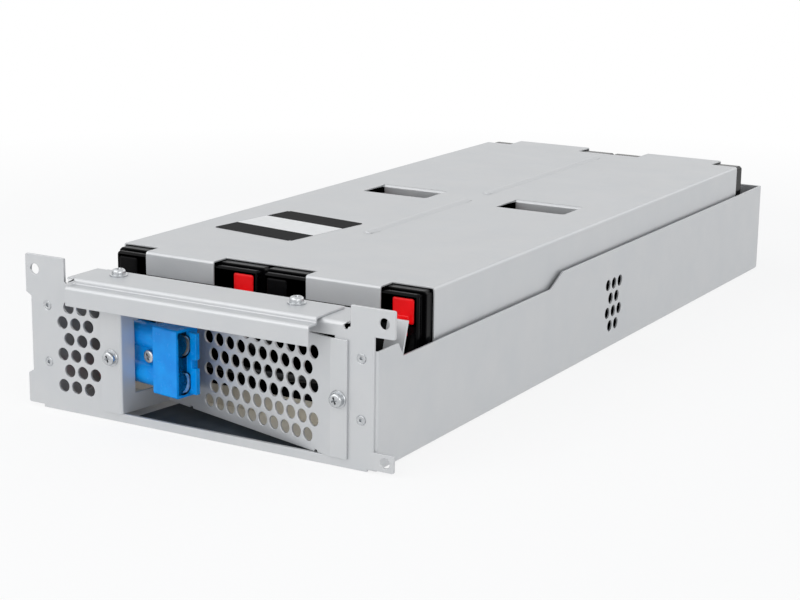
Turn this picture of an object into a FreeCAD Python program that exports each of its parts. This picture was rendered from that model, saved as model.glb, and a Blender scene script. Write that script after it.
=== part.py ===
import FreeCAD
import Part
import math
import os

# A slide-in battery cartridge: a folded sheet tray with a riveted front frame,
# a connector recess, a lifting handle, and eight sealed batteries under a folded cover.
# X runs to the right, Y from the front to the back and Z up. The origin is the middle
# of the footprint, on the floor. Everything is built from the frame's front plane at Y = 0
# and moved back by half of the length when it is written.

# Sheet thicknesses and the fold radius
tray_sheet = 1.2
frame_sheet = 1.5
recess_sheet = 1.2
handle_sheet = 1.2
cover_sheet = 1.0
fold_inside = 0.6

# Batteries, lying on their sides in four rows of two
battery_width = 90.0
battery_height = 70.0
battery_length = 100.0
battery_rows = 4
lid_length = 5.0
lid_side_inset = 2.0
lid_top_inset = 1.0
lid_edge = 1.0
case_edge = 1.4
seam_depth = 0.8
seam_width = 1.2
battery_side_gap = 0.2
battery_end_gap = 0.3
middle_gap = 30.0
pad_thickness = 2.0
cover_clearance = 0.2

# Room round the batteries: the lead channel on the left, the cover's clearance on the right,
# the wiring space behind the recess and the wiring space at the rear
channel_width = 5.5
cover_wall_gap = 1.5
wiring_space = 15.0
rear_space = 22.2

# Terminals and their push-on boots
terminal_inset = 9.6
terminal_from_top = 9.2
well_clearance = 0.2
well_depth = 8.5
blade_width = 6.3
blade_length = 7.9
blade_sheet = 0.8
boot_width = 12.2
boot_height = 12.8
boot_proud = 0.4
boot_edge = 0.7
boot_sleeve_width = 5.6
boot_sleeve_reach = 5.8
boot_sleeve_rise = 3.6
boot_sleeve_drop = 5.5
boot_slot_clearance = 0.1

# Tray
wall_below_crossbar = 12.0
wall_dip = 6.8
dip_start = 20.0
dip_front_slope = 4.4
dip_end_before_middle = 83.5
dip_rear_slope = 14.3
tray_flange_left = 8.5
tray_flange_right = 11.0
tray_sill = 4.0
stop_tab_width = 10.8
stop_tab_height = 17.5
stop_tab_root = 2.6
stop_tab_lean = 5.5

# Perforations, staggered by half a pitch
hole_radius = 3.2
hole_pitch = 8.0
hole_sides = 10
fastener_sides = 10
wall_field_rows = 4
wall_field_columns = 3
wall_field_low = 12.8
wall_field_before_middle = 0.8

# Front frame
frame_height = 77.4
ear_reach = 9.5
ear_side = 14.8
ear_side_right = 13.6
ear_drop_right = 0.9
ear_corner = 1.0
frame_side_in = 1.2
ear_rise = 9.1
crossbar_face = 7.0
crossbar_depth = 24.0
crossbar_relief = 1.3
strip_height = 4.3
ear_base = 1.4
left_flange_reach = 6.4
upper_left_ear_height = 19.4
upper_right_ear_height = 14.1
lower_left_ear_top = 16.5
lower_right_ear_top = 9.8
ear_step = 1.8
upper_hole_radius = 2.7
upper_hole_out = 3.8
upper_hole_down = 7.4
lower_hole_radius = 2.5
lower_hole_out = 4.8
lower_hole_z = 5.7
window_clearance = 1.6
frame_field_in = 13.0
frame_field_low = 13.05
field_columns = 3
drain_notch_width = 3.6
drain_notch_height = 1.2
drain_notch_in = 4.4

# Flush rivets that join the frame to the tray
rivet_radius = 1.4
rivet_head_radius = 3.1
rivet_head_depth = 0.9
rivet_tail_radius = 1.7
rivet_tail_height = 1.0
rivet_left_in = 3.6
rivet_right_in = 7.8
rivet_low_z = 23.8
rivet_below_crossbar = 8.8

# Recess cover, folded in plan
recess_left_in = 49.5
recess_right_in = 23.4
recess_lean = 9.23
recess_tab_left = 12.2
recess_tab_right = 8.9
recess_low = 4.3
recess_below_crossbar = 1.0
recess_tab_corner = 3.0
recess_notch_radius = 1.1
recess_notch_from_corner = 17.0
recess_notch_from_fold = 9.5
grille_low = 11.4
grille_start = 11.2
grille_plain_end = 27.0
recess_screw_from_left = 5.6
recess_screw_from_right = 4.4

# Handle, a joggled plate with a turned-down lip
handle_left_in = 23.5
handle_right_in = 29.5
handle_back = 21.0
handle_riser_y = -3.5
handle_riser = 2.8
handle_reach = 10.0
handle_lip = 9.7
handle_wing = 4.0
handle_corner = 10.0
handle_corner_width = 6.0
handle_screw_y = 13.0
handle_screw_left = 14.7
handle_screw_right = 21.0

# Battery cover
cover_tab_drop = 12.0
cover_flange = 32.4
cover_tab_front_reach = 1.1
cover_edge_front_back = 10.5
cover_tab_rear_reach = 1.1
cover_edge_rear_back = 17.6
front_tab_in = 22.7
front_tab_inner = 27.0
rear_tab_in = 18.0
rear_tab_inner = 21.7
slot_in = 25.5
slot_inner = 23.0
slot_length = 25.6
slot_corner = 2.0
slot_flange = 8.0
slot_flange_gap = 0.5
bead_width = 7.0
bead_height = 0.8
bead_from_front = 89.5
bead_past_gap_front = 12.7
bead_behind_slots = 6.0
bead_from_rear = 19.0

# Connector, built along its own axis and set square through the recess's left wall
connector_height = 34.0
connector_half = 7.2
connector_tail = -10.5
connector_hood_start = 12.0
connector_hood_end = 28.3
connector_tongue = 6.0
connector_tongue_sheet = 2.6
connector_tongue_inset = 1.8
connector_wall = 1.6
connector_edge = 1.0
connector_pocket = 12.0
connector_pocket_depth = 13.0
connector_barrel = 6.4
connector_barrel_spacing = 18.4
connector_web = 4.0
connector_bore_depth = 9.0
connector_key = 5.0
connector_notch = 4.4
connector_notch_depth = 3.2
connector_setback = 8.6
connector_clearance = 0.4
connector_back_gap = 5.2
connector_opening_drop = 1.8
contact_sheet = 1.5
contact_height = 8.4
contact_length = 13.5
contact_tip = 0.8
bracket_tab_length = 14.0
bracket_tab_height = 13.0
connector_screw_along = 6.6

# Screws
screw_head_radius = 3.4
screw_head_height = 2.6
screw_collar_radius = 4.2
screw_collar = 0.9
screw_head_edge = 1.0
screw_shank_radius = 1.95
screw_hole_clearance = 0.15
screw_length = 7.0
washer_radius = 4.5
washer_sheet = 0.8
connector_screw_length = 15.0

# Leads, with as many flats as their sides
lead_radius = 2.2
lead_clearance = 0.2
lead_sides = 8
lead_bend = 9.0
lead_step = 30.0
red_lead_height = 9.0
link_height = 22.0
jumper_drop = 16.0
lead_apart = 5.0

# Widths that follow: the tray closes round the two columns, their cover and the lead channel
half_pair = battery_width + battery_side_gap / 2
cover_half = half_pair + cover_clearance + cover_sheet
tray_width = 2 * cover_half + channel_width + cover_wall_gap + 2 * tray_sheet
half_width = tray_width / 2
inner_wall = half_width - tray_sheet
battery_shift = (channel_width - cover_wall_gap) / 2
fold_outside = fold_inside + tray_sheet

# Heights that follow
battery_low = tray_sheet + pad_thickness
battery_high = battery_low + battery_height
terminal_height = battery_height - terminal_from_top
cover_high = battery_high + cover_clearance + cover_sheet
cover_flange_low = cover_high - cover_flange
crossbar_top = frame_height - ear_rise
crossbar_low = crossbar_top - crossbar_face
wall_high = crossbar_top - wall_below_crossbar
wall_low = wall_high - wall_dip
recess_high = crossbar_low - recess_below_crossbar
recess_middle = (recess_low + recess_high) / 2
connector_low = recess_middle - connector_height / 2
connector_high = recess_middle + connector_height / 2
upper_hole_z = frame_height - upper_hole_down
upper_left_ear_low = frame_height - upper_left_ear_height
upper_right_ear_low = frame_height - upper_right_ear_height
handle_low = crossbar_top
handle_high = handle_low + handle_sheet

# Places across the front that follow
ear_inner = half_width - ear_side
ear_inner_right = half_width - ear_side_right
frame_side = half_width - frame_side_in
upper_hole_x = half_width + upper_hole_out
lower_hole_x = half_width + lower_hole_out
frame_field_x = -half_width + frame_field_in
rivet_left_x = -half_width + rivet_left_in
rivet_right_x = half_width - rivet_right_in
drain_notch_x = half_width - drain_notch_in
recess_left_x = -half_width + recess_left_in
recess_right_x = half_width - recess_right_in
handle_left = -half_width + handle_left_in
handle_right = half_width - handle_right_in

# The connector stands square to the recess's left wall, and the angled wall passes just behind it
lean = math.radians(recess_lean)
along_wall = FreeCAD.Vector(math.sin(lean), math.cos(lean), 0)
off_wall = FreeCAD.Vector(math.cos(lean), -math.sin(lean), 0)
left_fold = FreeCAD.Vector(recess_left_x, -recess_sheet, 0)
right_fold = FreeCAD.Vector(recess_right_x, -recess_sheet, 0)
connector_root = left_fold + along_wall * (connector_setback + recess_sheet)
hood_corner = connector_root + off_wall * connector_hood_end + along_wall * (2 * connector_half)
passing = hood_corner + FreeCAD.Vector(0, connector_back_gap, 0) - right_fold
span = right_fold - left_fold
wall_reach = (span.x * passing.y - span.y * passing.x) / (along_wall.x * passing.y - along_wall.y * passing.x)
recess_corner = left_fold + along_wall * wall_reach
grille_length = (recess_corner - right_fold).Length
grille_way = (recess_corner - right_fold).normalize()
grille_back = FreeCAD.Vector(-grille_way.y, grille_way.x, 0) * -1

# Places from the front to the back that follow
battery_front = recess_corner.y + recess_sheet + wiring_space
row_pair = battery_length * 2 + battery_end_gap
middle_front = battery_front + row_pair
middle_back = middle_front + middle_gap
middle_y = (middle_front + middle_back) / 2
rear_face = middle_back + row_pair
tray_length = rear_face + rear_space + tray_sheet
footprint_middle = (tray_length - handle_reach) / 2
cover_tab_front = battery_front - cover_tab_front_reach
cover_edge_front = battery_front + cover_edge_front_back
cover_tab_rear = rear_face + cover_tab_rear_reach
cover_edge_rear = rear_face - cover_edge_rear_back
dip_end = middle_y - dip_end_before_middle

# Fields of perforations fill the height and length that they have
grille_columns = int((grille_length - grille_start - grille_plain_end) / hole_pitch)
grille_rows = int((recess_high - grille_low) / hole_pitch)
field_rows = int((crossbar_low - frame_field_low) / hole_pitch)
hole_step = hole_pitch / 2


def point(plane, u, v, w):
    """Puts a point of a flat drawing into space, at the distance w from its plane."""
    if plane == "XZ":
        return FreeCAD.Vector(u, w, v)
    if plane == "YZ":
        return FreeCAD.Vector(w, u, v)
    return FreeCAD.Vector(u, v, w)


def direction(plane, length):
    """The way in which a flat drawing is extruded."""
    return point(plane, 0, 0, length)


def block(x0, x1, y0, y1, z0, z1):
    """A box between two corners."""
    return Part.makeBox(x1 - x0, y1 - y0, z1 - z0, FreeCAD.Vector(x0, y0, z0))


def rod(x, y, z, radius, length, axis):
    """A round bar that starts at a point."""
    return Part.makeCylinder(radius, length, FreeCAD.Vector(x, y, z), axis)


def ring_points(x, y, z, radius, axis, sides):
    """The corners of a polygon that has the same area as a circle about an axis."""
    turn = 2 * math.pi / sides
    size = radius / math.sqrt(sides / (2 * math.pi) * math.sin(turn))
    lay = FreeCAD.Rotation(FreeCAD.Vector(0, 0, 1), axis)
    middle = FreeCAD.Vector(x, y, z)
    return [middle + lay.multVec(FreeCAD.Vector(size * math.cos(turn * (i + 0.5)),
                                                size * math.sin(turn * (i + 0.5)), 0)) for i in range(sides)]


def ring_face(ring):
    """A flat face from its corners."""
    return Part.Face(Part.makePolygon(ring + [ring[0]]))


def bar(x, y, z, radius, length, axis, sides):
    """A straight many-sided bar that stands in for a small round one, where a part repeats."""
    return ring_face(ring_points(x, y, z, radius, axis, sides)).extrude(axis * length)


def stack(x, y, z, axis, sections):
    """A many-sided turned part, from its (distance along the axis, radius) pairs."""
    rings = []
    for along, radius in sections:
        centre = FreeCAD.Vector(x, y, z) + axis * along
        rings.append(ring_points(centre.x, centre.y, centre.z, radius, axis, fastener_sides))
    return skin(rings)


def skin(rings):
    """A solid from a row of rings that all have as many corners."""
    faces = [ring_face(rings[0]), ring_face(rings[-1])]
    sides = len(rings[0])
    for near, far in zip(rings[:-1], rings[1:]):
        for i in range(sides):
            j = (i + 1) % sides
            faces.append(ring_face([near[i], near[j], far[j], far[i]]))
    shell = Part.makeShell(faces)
    shell.sewShape()
    solid = Part.makeSolid(shell)
    if solid.Volume < 0:
        solid.reverse()
    return solid


def perforation(x, y, z, length, axis):
    """The tool that punches one perforation, with as many sides as the field can afford, inside its circle."""
    turn = 2 * math.pi / hole_sides
    inside = math.sqrt(hole_sides / (2 * math.pi) * math.sin(turn))
    return bar(x, y, z, hole_radius * inside, length, axis, hole_sides)


def plate(plane, corners, start, thickness):
    """A flat plate from its outline, where each corner is (u, v, radius)."""
    edges = []
    ends = []
    count = len(corners)
    for i in range(count):
        before = point(plane, corners[i - 1][0], corners[i - 1][1], start)
        here = point(plane, corners[i][0], corners[i][1], start)
        after = point(plane, corners[(i + 1) % count][0], corners[(i + 1) % count][1], start)
        radius = corners[i][2]
        if radius == 0:
            ends.append((here, here))
            continue
        to_before = (before - here).normalize()
        to_after = (after - here).normalize()
        half = to_before.getAngle(to_after) / 2
        reach = radius / math.tan(half)
        first = here + to_before * reach
        last = here + to_after * reach
        middle = (to_before + to_after).normalize() * (radius / math.sin(half) - radius)
        edges.append(Part.Arc(first, here + middle, last).toShape())
        ends.append((first, last))
    for i in range(count):
        leave = ends[i][1]
        arrive = ends[(i + 1) % count][0]
        if leave.distanceToPoint(arrive) > 1e-6:
            edges.append(Part.LineSegment(leave, arrive).toShape())
    wire = Part.Wire(Part.__sortEdges__(edges))
    return Part.Face(wire).extrude(direction(plane, thickness))


def fold(plane, path, sheet, inside, start, length):
    """A folded sheet. The path is one face of it, and the sheet lies on the path's left,
    or on its right where its thickness is given as negative."""
    thick = abs(sheet)
    side = 1 if sheet > 0 else -1
    near = []
    far = []
    near_from = path[0]
    near_end = path[0]
    far_end = None
    for i in range(1, len(path)):
        ax, ay = path[i - 1]
        bx, by = path[i]
        run = math.hypot(bx - ax, by - ay)
        dx = (bx - ax) / run
        dy = (by - ay) / run
        left = (-dy * side, dx * side)
        if far_end is None:
            far_end = (near_end[0] + left[0] * thick, near_end[1] + left[1] * thick)
            first_far = far_end
        if i == len(path) - 1:
            near.append(("line", near_end, (bx, by)))
            far.append(("line", far_end, (bx + left[0] * thick, by + left[1] * thick)))
            break
        cx, cy = path[i + 1]
        after = math.hypot(cx - bx, cy - by)
        ex = (cx - bx) / after
        ey = (cy - by) / after
        turn = math.atan2(dx * ey - dy * ex, dx * ex + dy * ey)
        turn_side = 1 if turn > 0 else -1
        near_radius = inside + (thick if turn_side == side else 0)
        far_radius = inside + (0 if turn_side == side else thick)
        reach = near_radius * math.tan(abs(turn) / 2)
        tangent_in = (bx - dx * reach, by - dy * reach)
        tangent_out = (bx + ex * reach, by + ey * reach)
        centre = (tangent_in[0] - dy * turn_side * near_radius, tangent_in[1] + dx * turn_side * near_radius)
        out = (bx - centre[0], by - centre[1])
        size = math.hypot(out[0], out[1])
        near_mid = (centre[0] + out[0] / size * near_radius, centre[1] + out[1] / size * near_radius)
        far_mid = (centre[0] + out[0] / size * far_radius, centre[1] + out[1] / size * far_radius)
        left_after = (-ey * side, ex * side)
        far_in = (tangent_in[0] + left[0] * thick, tangent_in[1] + left[1] * thick)
        far_out = (tangent_out[0] + left_after[0] * thick, tangent_out[1] + left_after[1] * thick)
        near.append(("line", near_end, tangent_in))
        near.append(("arc", tangent_in, near_mid, tangent_out))
        far.append(("line", far_end, far_in))
        far.append(("arc", far_in, far_mid, far_out))
        near_end = tangent_out
        far_end = far_out
    last_near = near[-1][-1]
    last_far = far[-1][-1]
    pieces = near + far + [("line", near_from, first_far), ("line", last_near, last_far)]
    edges = []
    for piece in pieces:
        ends = [point(plane, u, v, start) for u, v in piece[1:]]
        if piece[0] == "arc":
            edges.append(Part.Arc(ends[0], ends[1], ends[2]).toShape())
        elif ends[0].distanceToPoint(ends[1]) > 1e-6:
            edges.append(Part.LineSegment(ends[0], ends[1]).toShape())
    wire = Part.Wire(Part.__sortEdges__(edges))
    return Part.Face(wire).extrude(direction(plane, length))


def join(shapes):
    """Fuses several solids into one and clears the seams between flush faces."""
    whole = shapes[0].multiFuse(shapes[1:])
    return whole.removeSplitter()


def lead(route):
    """A lead along straight runs, with a bend in short steps at each turn."""
    stops = [FreeCAD.Vector(*stop) for stop in route]
    way = (stops[1] - stops[0]).normalize()
    start = stops[0]
    ring = ring_points(start.x, start.y, start.z, lead_radius, way, lead_sides)
    rings = [ring]
    here = start
    for i in range(1, len(stops) - 1):
        back = stops[i - 1] - stops[i]
        ahead = stops[i + 1] - stops[i]
        shorter = min(back.Length, ahead.Length)
        back.normalize()
        ahead.normalize()
        half = back.getAngle(ahead) / 2
        reach = min(shorter * 0.45, lead_bend / math.tan(half))
        first = stops[i] + back * reach
        ring = [corner + first - here for corner in ring]
        rings.append(ring)
        centre = stops[i] + (back + ahead).normalize() * (reach / math.cos(half))
        axis = ahead.cross(back).normalize()
        angle = 180 - math.degrees(2 * half)
        steps = max(1, math.ceil(angle / lead_step))
        turn = FreeCAD.Rotation(axis, angle / steps)
        for step in range(steps):
            ring = [centre + turn.multVec(corner - centre) for corner in ring]
            rings.append(ring)
        here = stops[i] + ahead * reach
    rings.append([corner + stops[-1] - here for corner in ring])
    return skin(rings)


def staggered(columns, rows, odd_rows_shift):
    """Places of a staggered field in steps of half a pitch: (steps across, steps up)."""
    places = []
    for row in range(rows):
        shifted = (row % 2 == 1) == odd_rows_shift
        for column in range(columns):
            places.append((column * 2 + (1 if shifted else 0), row * 2))
    return places


def make_tray():
    """A folded tray: the floor and side walls in one channel, the rear wall and a low front sill
    folded up from the floor, and a flange folded inward at each side's front edge."""
    front = frame_sheet
    bend = fold_outside
    channel = fold("XZ", [(-half_width, wall_high), (-half_width, 0), (half_width, 0), (half_width, wall_high)],
                   tray_sheet, fold_inside, front + bend, tray_length - front - bend)
    rear = fold("YZ", [(tray_length - 2 * bend, 0), (tray_length, 0), (tray_length, wall_high)],
                tray_sheet, fold_inside, -inner_wall, 2 * inner_wall)
    sill = fold("YZ", [(front + 2 * bend, 0), (front, 0), (front, tray_sill)],
                -tray_sheet, fold_inside, -inner_wall, 2 * inner_wall)
    parts = [channel, rear, sill]
    for side, flange in ((-1, tray_flange_left), (1, tray_flange_right)):
        parts.append(fold("XY", [(side * half_width, front + 2 * bend), (side * half_width, front),
                                 (side * (half_width - flange), front)],
                          -tray_sheet * side, fold_inside, bend, wall_high - bend))
    tab_low = wall_low - stop_tab_root
    tab_y = dip_start + dip_front_slope
    tab = plate("YZ", [(tab_y, tab_low, 0), (tab_y + tray_sheet, tab_low, 0),
                       (tab_y + tray_sheet + stop_tab_lean, tab_low + stop_tab_height, 0),
                       (tab_y + stop_tab_lean, tab_low + stop_tab_height, 0)],
                inner_wall - stop_tab_width, stop_tab_width)
    dip = plate("YZ", [(dip_start, wall_high + 1, 0), (dip_start, wall_high, 0),
                       (dip_start + dip_front_slope, wall_low, 0), (dip_end, wall_low, 0),
                       (dip_end + dip_rear_slope, wall_high, 0), (dip_end + dip_rear_slope, wall_high + 1, 0)],
                -half_width - 1, tray_width + 2)
    cuts = [dip]
    field_y = middle_y - wall_field_before_middle - hole_pitch
    for across, up in staggered(wall_field_columns, wall_field_rows, False):
        if across < 2 * wall_field_columns - 1:
            y = field_y + across * hole_step
            z = wall_field_low + up * hole_step
            cuts.append(perforation(-half_width - 1, y, z, tray_width + 2, FreeCAD.Vector(1, 0, 0)))
    for x, z in rivet_places():
        cuts.append(bar(x, 0, z, rivet_radius, 2 * bend, FreeCAD.Vector(0, 1, 0), fastener_sides))
    return join([join(parts).cut(cuts), tab])


def rivet_places():
    """Where the four rivets sit on the frame."""
    high = crossbar_low - rivet_below_crossbar
    return [(x, z) for x in (rivet_left_x, rivet_right_x) for z in (rivet_low_z, high)]


def make_front_frame():
    """The riveted front plate with its four ears, window, crossbar and perforated field."""
    outside = half_width + ear_reach
    left_flange = half_width + left_flange_reach
    body_top = crossbar_top - frame_sheet - fold_inside
    right_top = frame_height - ear_drop_right
    corners = [
        (-half_width, 0, 0), (frame_side, 0, 0),
        (frame_side, ear_base, 0), (outside, ear_base, ear_corner),
        (outside, lower_right_ear_top, ear_corner), (frame_side, lower_right_ear_top, 0),
        (frame_side, upper_right_ear_low, 0), (outside, upper_right_ear_low, ear_corner),
        (outside, right_top, ear_corner), (ear_inner_right, right_top, ear_corner / 2),
        (ear_inner_right, body_top, 0), (-ear_inner, body_top, 0),
        (-ear_inner, frame_height, ear_corner / 2), (-outside, frame_height, ear_corner),
        (-outside, upper_left_ear_low, 0), (-left_flange, upper_left_ear_low - ear_step, 0),
        (-left_flange, lower_left_ear_top + ear_step, 0), (-outside, lower_left_ear_top, 0),
        (-outside, ear_base, ear_corner), (-half_width, ear_base, 0)]
    body = plate("XZ", corners, 0, frame_sheet)
    bar_half = ear_inner - crossbar_relief
    crossbar = fold("YZ", [(0, crossbar_low), (0, crossbar_top), (crossbar_depth, crossbar_top)],
                    -frame_sheet, fold_inside, -bar_half, 2 * bar_half)
    frame = join([body, crossbar])
    window = plate("XZ", [(recess_left_x - recess_sheet - window_clearance, strip_height, 0),
                          (recess_right_x + window_clearance, strip_height, 0),
                          (recess_right_x + window_clearance, crossbar_low, 0),
                          (recess_left_x - recess_sheet - window_clearance, crossbar_low, 0)],
                   -1, frame_sheet + 2)
    back = FreeCAD.Vector(0, 1, 0)
    cuts = [window]
    for across, up in staggered(field_columns, field_rows, True):
        cuts.append(perforation(frame_field_x + across * hole_step, -1, frame_field_low + up * hole_step,
                                frame_sheet + 2, back))
    for side in (-1, 1):
        cuts.append(rod(side * upper_hole_x, -1, upper_hole_z, upper_hole_radius, frame_sheet + 2, back))
        cuts.append(bar(side * bar_half, -1, crossbar_top - frame_sheet - fold_inside, crossbar_relief,
                        crossbar_relief * 2 + frame_sheet, back, fastener_sides))
    cuts.append(rod(lower_hole_x, -1, lower_hole_z, lower_hole_radius, frame_sheet + 2, back))
    cuts.append(block(drain_notch_x, drain_notch_x + drain_notch_width, -1, frame_sheet + 1,
                      -1, drain_notch_height))
    for x, z in rivet_places():
        cuts.append(rivet_solid(x, z, 0))
    tab_hole = screw_shank_radius + screw_hole_clearance
    for x in recess_screw_places():
        cuts.append(bar(x, -1, recess_middle, tab_hole, frame_sheet + 2, back, fastener_sides))
    for x in handle_screw_places():
        cuts.append(bar(x, handle_screw_y, crossbar_top - frame_sheet - 1, tab_hole, frame_sheet + 2,
                        FreeCAD.Vector(0, 0, 1), fastener_sides))
    return frame.cut(cuts)


def rivet_solid(x, z, tail):
    """One flush rivet: a sunk head, a shank through both sheets and an upset tail behind them."""
    grip = frame_sheet + tray_sheet
    sections = [(0, rivet_head_radius), (rivet_head_depth, rivet_radius), (grip, rivet_radius)]
    if tail > 0:
        sections.extend([(grip, rivet_tail_radius), (grip + tail, rivet_tail_radius)])
    return stack(x, 0, z, FreeCAD.Vector(0, 1, 0), sections)


def make_frame_rivets():
    """The four flush rivets that join the frame to the tray's flanges."""
    return [rivet_solid(x, z, rivet_tail_height) for x, z in rivet_places()]


def recess_screw_places():
    """The two screws of the recess cover, one in each tab."""
    return [recess_left_x - recess_screw_from_left, recess_right_x + recess_screw_from_right]


def make_recess_cover():
    """One sheet folded in plan: a tab each side, the connector's wall and the angled grille."""
    path = [(left_fold.x - recess_tab_left, left_fold.y), (left_fold.x, left_fold.y),
            (recess_corner.x, recess_corner.y), (right_fold.x, right_fold.y),
            (right_fold.x + recess_tab_right, right_fold.y)]
    cover = fold("XY", path, recess_sheet, fold_inside, recess_low, recess_high - recess_low)
    cuts = []
    for across, up in staggered(grille_columns, grille_rows, False):
        centre = right_fold + grille_way * (grille_start + across * hole_step) - grille_back * recess_sheet
        cuts.append(perforation(centre.x, centre.y, grille_low + up * hole_step, recess_sheet * 3, grille_back))
    for reach in (recess_notch_from_fold, grille_length - recess_notch_from_corner):
        centre = right_fold + grille_way * reach - grille_back * recess_sheet
        cuts.append(bar(centre.x, centre.y, recess_low, recess_notch_radius, recess_sheet * 3, grille_back,
                        fastener_sides))
    cuts.append(in_wall(block(-2 * recess_sheet, recess_sheet, -connector_clearance,
                              2 * connector_half + connector_clearance,
                              connector_low - connector_opening_drop, connector_high + connector_clearance)))
    hole = screw_shank_radius + screw_hole_clearance
    back = FreeCAD.Vector(0, 1, 0)
    for x in recess_screw_places():
        cuts.append(bar(x, -recess_sheet - 1, recess_middle, hole, recess_sheet + 2, back, fastener_sides))
    corner = recess_tab_corner
    foot_x = left_fold.x - recess_tab_left
    foot = block(foot_x - 1, foot_x + corner, -recess_sheet - 1, 0.5, recess_low - 1, recess_low + corner)
    round_end = rod(foot_x + corner, -recess_sheet - 2, recess_low + corner, corner, recess_sheet + 4, back)
    cuts.append(foot.cut(round_end))
    return join([cover.cut(cuts), bracket_tab()])


def bracket_tab():
    """The leaf of the recess cover that lies behind the connector and takes its screw."""
    near = 2 * connector_half
    low = recess_middle - bracket_tab_height / 2
    high = recess_middle + bracket_tab_height / 2
    leaf = block(-recess_sheet, bracket_tab_length, near, near + recess_sheet, low, high)
    root = block(-recess_sheet, 0, near, near + recess_sheet * 2, low, high)
    hole = bar(connector_screw_along, near - 1, recess_middle, screw_shank_radius + screw_hole_clearance,
               recess_sheet + 2, FreeCAD.Vector(0, 1, 0), fastener_sides)
    return in_wall(join([leaf, root]).cut(hole))


def in_wall(shape):
    """Sets a shape from the connector's own axes square to the recess's left wall."""
    turned = shape.copy()
    turned.rotate(FreeCAD.Vector(0, 0, 0), FreeCAD.Vector(0, 0, 1), -recess_lean)
    turned.translate(connector_root)
    return turned


def make_connector_housing():
    """A two-pole moulded plug housing: a hood, two wire barrels with a web, and a tongue."""
    low = connector_low
    high = connector_high
    thick = 2 * connector_half
    hood = block(connector_hood_start, connector_hood_end, 0, thick, low, high)
    hood = hood.makeChamfer(connector_edge, [edge for edge in hood.Edges if is_along_x(edge)])
    back = block(0, connector_hood_start, connector_half, thick,
                 recess_middle - connector_barrel_spacing / 2, recess_middle + connector_barrel_spacing / 2)
    tail = []
    for side in (-1, 1):
        z = recess_middle + side * connector_barrel_spacing / 2
        tail.append(rod(connector_tail, connector_half, z, connector_barrel,
                        connector_hood_start - connector_tail, FreeCAD.Vector(1, 0, 0)))
    web = block(connector_tail, connector_hood_start, connector_web, thick - connector_web,
                recess_middle - connector_barrel_spacing / 2, recess_middle + connector_barrel_spacing / 2)
    tongue = block(connector_hood_end, connector_hood_end + connector_tongue, connector_half,
                   connector_half + connector_tongue_sheet,
                   low + connector_tongue_inset, high - connector_tongue_inset)
    key = block(connector_hood_end - connector_pocket_depth, connector_hood_end, connector_wall,
                connector_half / 2, recess_middle - connector_key / 2, recess_middle + connector_key / 2)
    housing = join([hood, back, web, tongue] + tail)
    cuts = []
    mouth_half = connector_barrel_spacing / 2 + connector_pocket / 2
    cuts.append(block(connector_hood_end - connector_tongue, connector_hood_end + 1, connector_wall,
                      connector_half, recess_middle - mouth_half, recess_middle + mouth_half))
    for side in (-1, 1):
        z = recess_middle + side * connector_barrel_spacing / 2
        cuts.append(block(connector_hood_end - connector_pocket_depth, connector_hood_end + 1, connector_wall,
                          connector_half, z - connector_pocket / 2, z + connector_pocket / 2))
        cuts.append(bar(connector_tail - 1, connector_half, z, lead_radius + lead_clearance,
                        connector_bore_depth + 1, FreeCAD.Vector(1, 0, 0), lead_sides))
    cuts.append(block(connector_hood_end + connector_tongue - connector_notch_depth,
                      connector_hood_end + connector_tongue + 1, 0, thick,
                      recess_middle - connector_notch / 2, recess_middle + connector_notch / 2))
    cuts.append(bar(connector_screw_along, -1, recess_middle, screw_shank_radius + screw_hole_clearance,
                    thick + 2, FreeCAD.Vector(0, 1, 0), fastener_sides))
    housing = join([housing.cut(cuts), key])
    return in_wall(housing)


def is_along_x(edge):
    """True for a straight edge that runs along X."""
    box = edge.BoundBox
    return box.YLength < 1e-6 and box.ZLength < 1e-6


def make_connector_contacts():
    """Two silvered contact blades that lie on the tongue's side of the pockets."""
    contacts = []
    for side in (-1, 1):
        z = recess_middle + side * connector_barrel_spacing / 2
        start = connector_hood_end - connector_pocket_depth
        blade = plate("XY", [(start, connector_half - contact_sheet, 0),
                             (start + contact_length, connector_half - contact_sheet - contact_tip, 0),
                             (start + contact_length + contact_sheet, connector_half - contact_sheet, 0),
                             (start + contact_length + contact_sheet, connector_half, 0),
                             (start, connector_half, 0)], z - contact_height / 2, contact_height)
        contacts.append(in_wall(blade))
    return contacts


def screw(x, y, z, length, axis, collar=0):
    """A pan-head screw, with or without a collar. The point lies under its head, and the axis is
    the way its head looks."""
    sections = [(collar, screw_head_radius), (collar + screw_head_height - screw_head_edge, screw_head_radius),
                (collar + screw_head_height, screw_head_radius - screw_head_edge)]
    if collar > 0:
        sections = [(0, screw_collar_radius), (collar, screw_collar_radius)] + sections
    head = stack(x, y, z, axis, sections)
    shank = bar(x, y, z, screw_shank_radius, length, axis * -1, fastener_sides)
    return join([head, shank])


def make_recess_screws():
    """The two collared screws that hold the recess cover to the frame."""
    return [screw(x, -recess_sheet, recess_middle, screw_length, FreeCAD.Vector(0, -1, 0), screw_collar)
            for x in recess_screw_places()]


def make_connector_screw():
    """The long screw through the connector's web into the bracket tab."""
    return in_wall(screw(connector_screw_along, connector_web, recess_middle, connector_screw_length,
                         FreeCAD.Vector(0, -1, 0)))


def handle_screw_places():
    """The two screws through the handle plate."""
    return [handle_left + handle_screw_left, handle_right - handle_screw_right]


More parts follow.
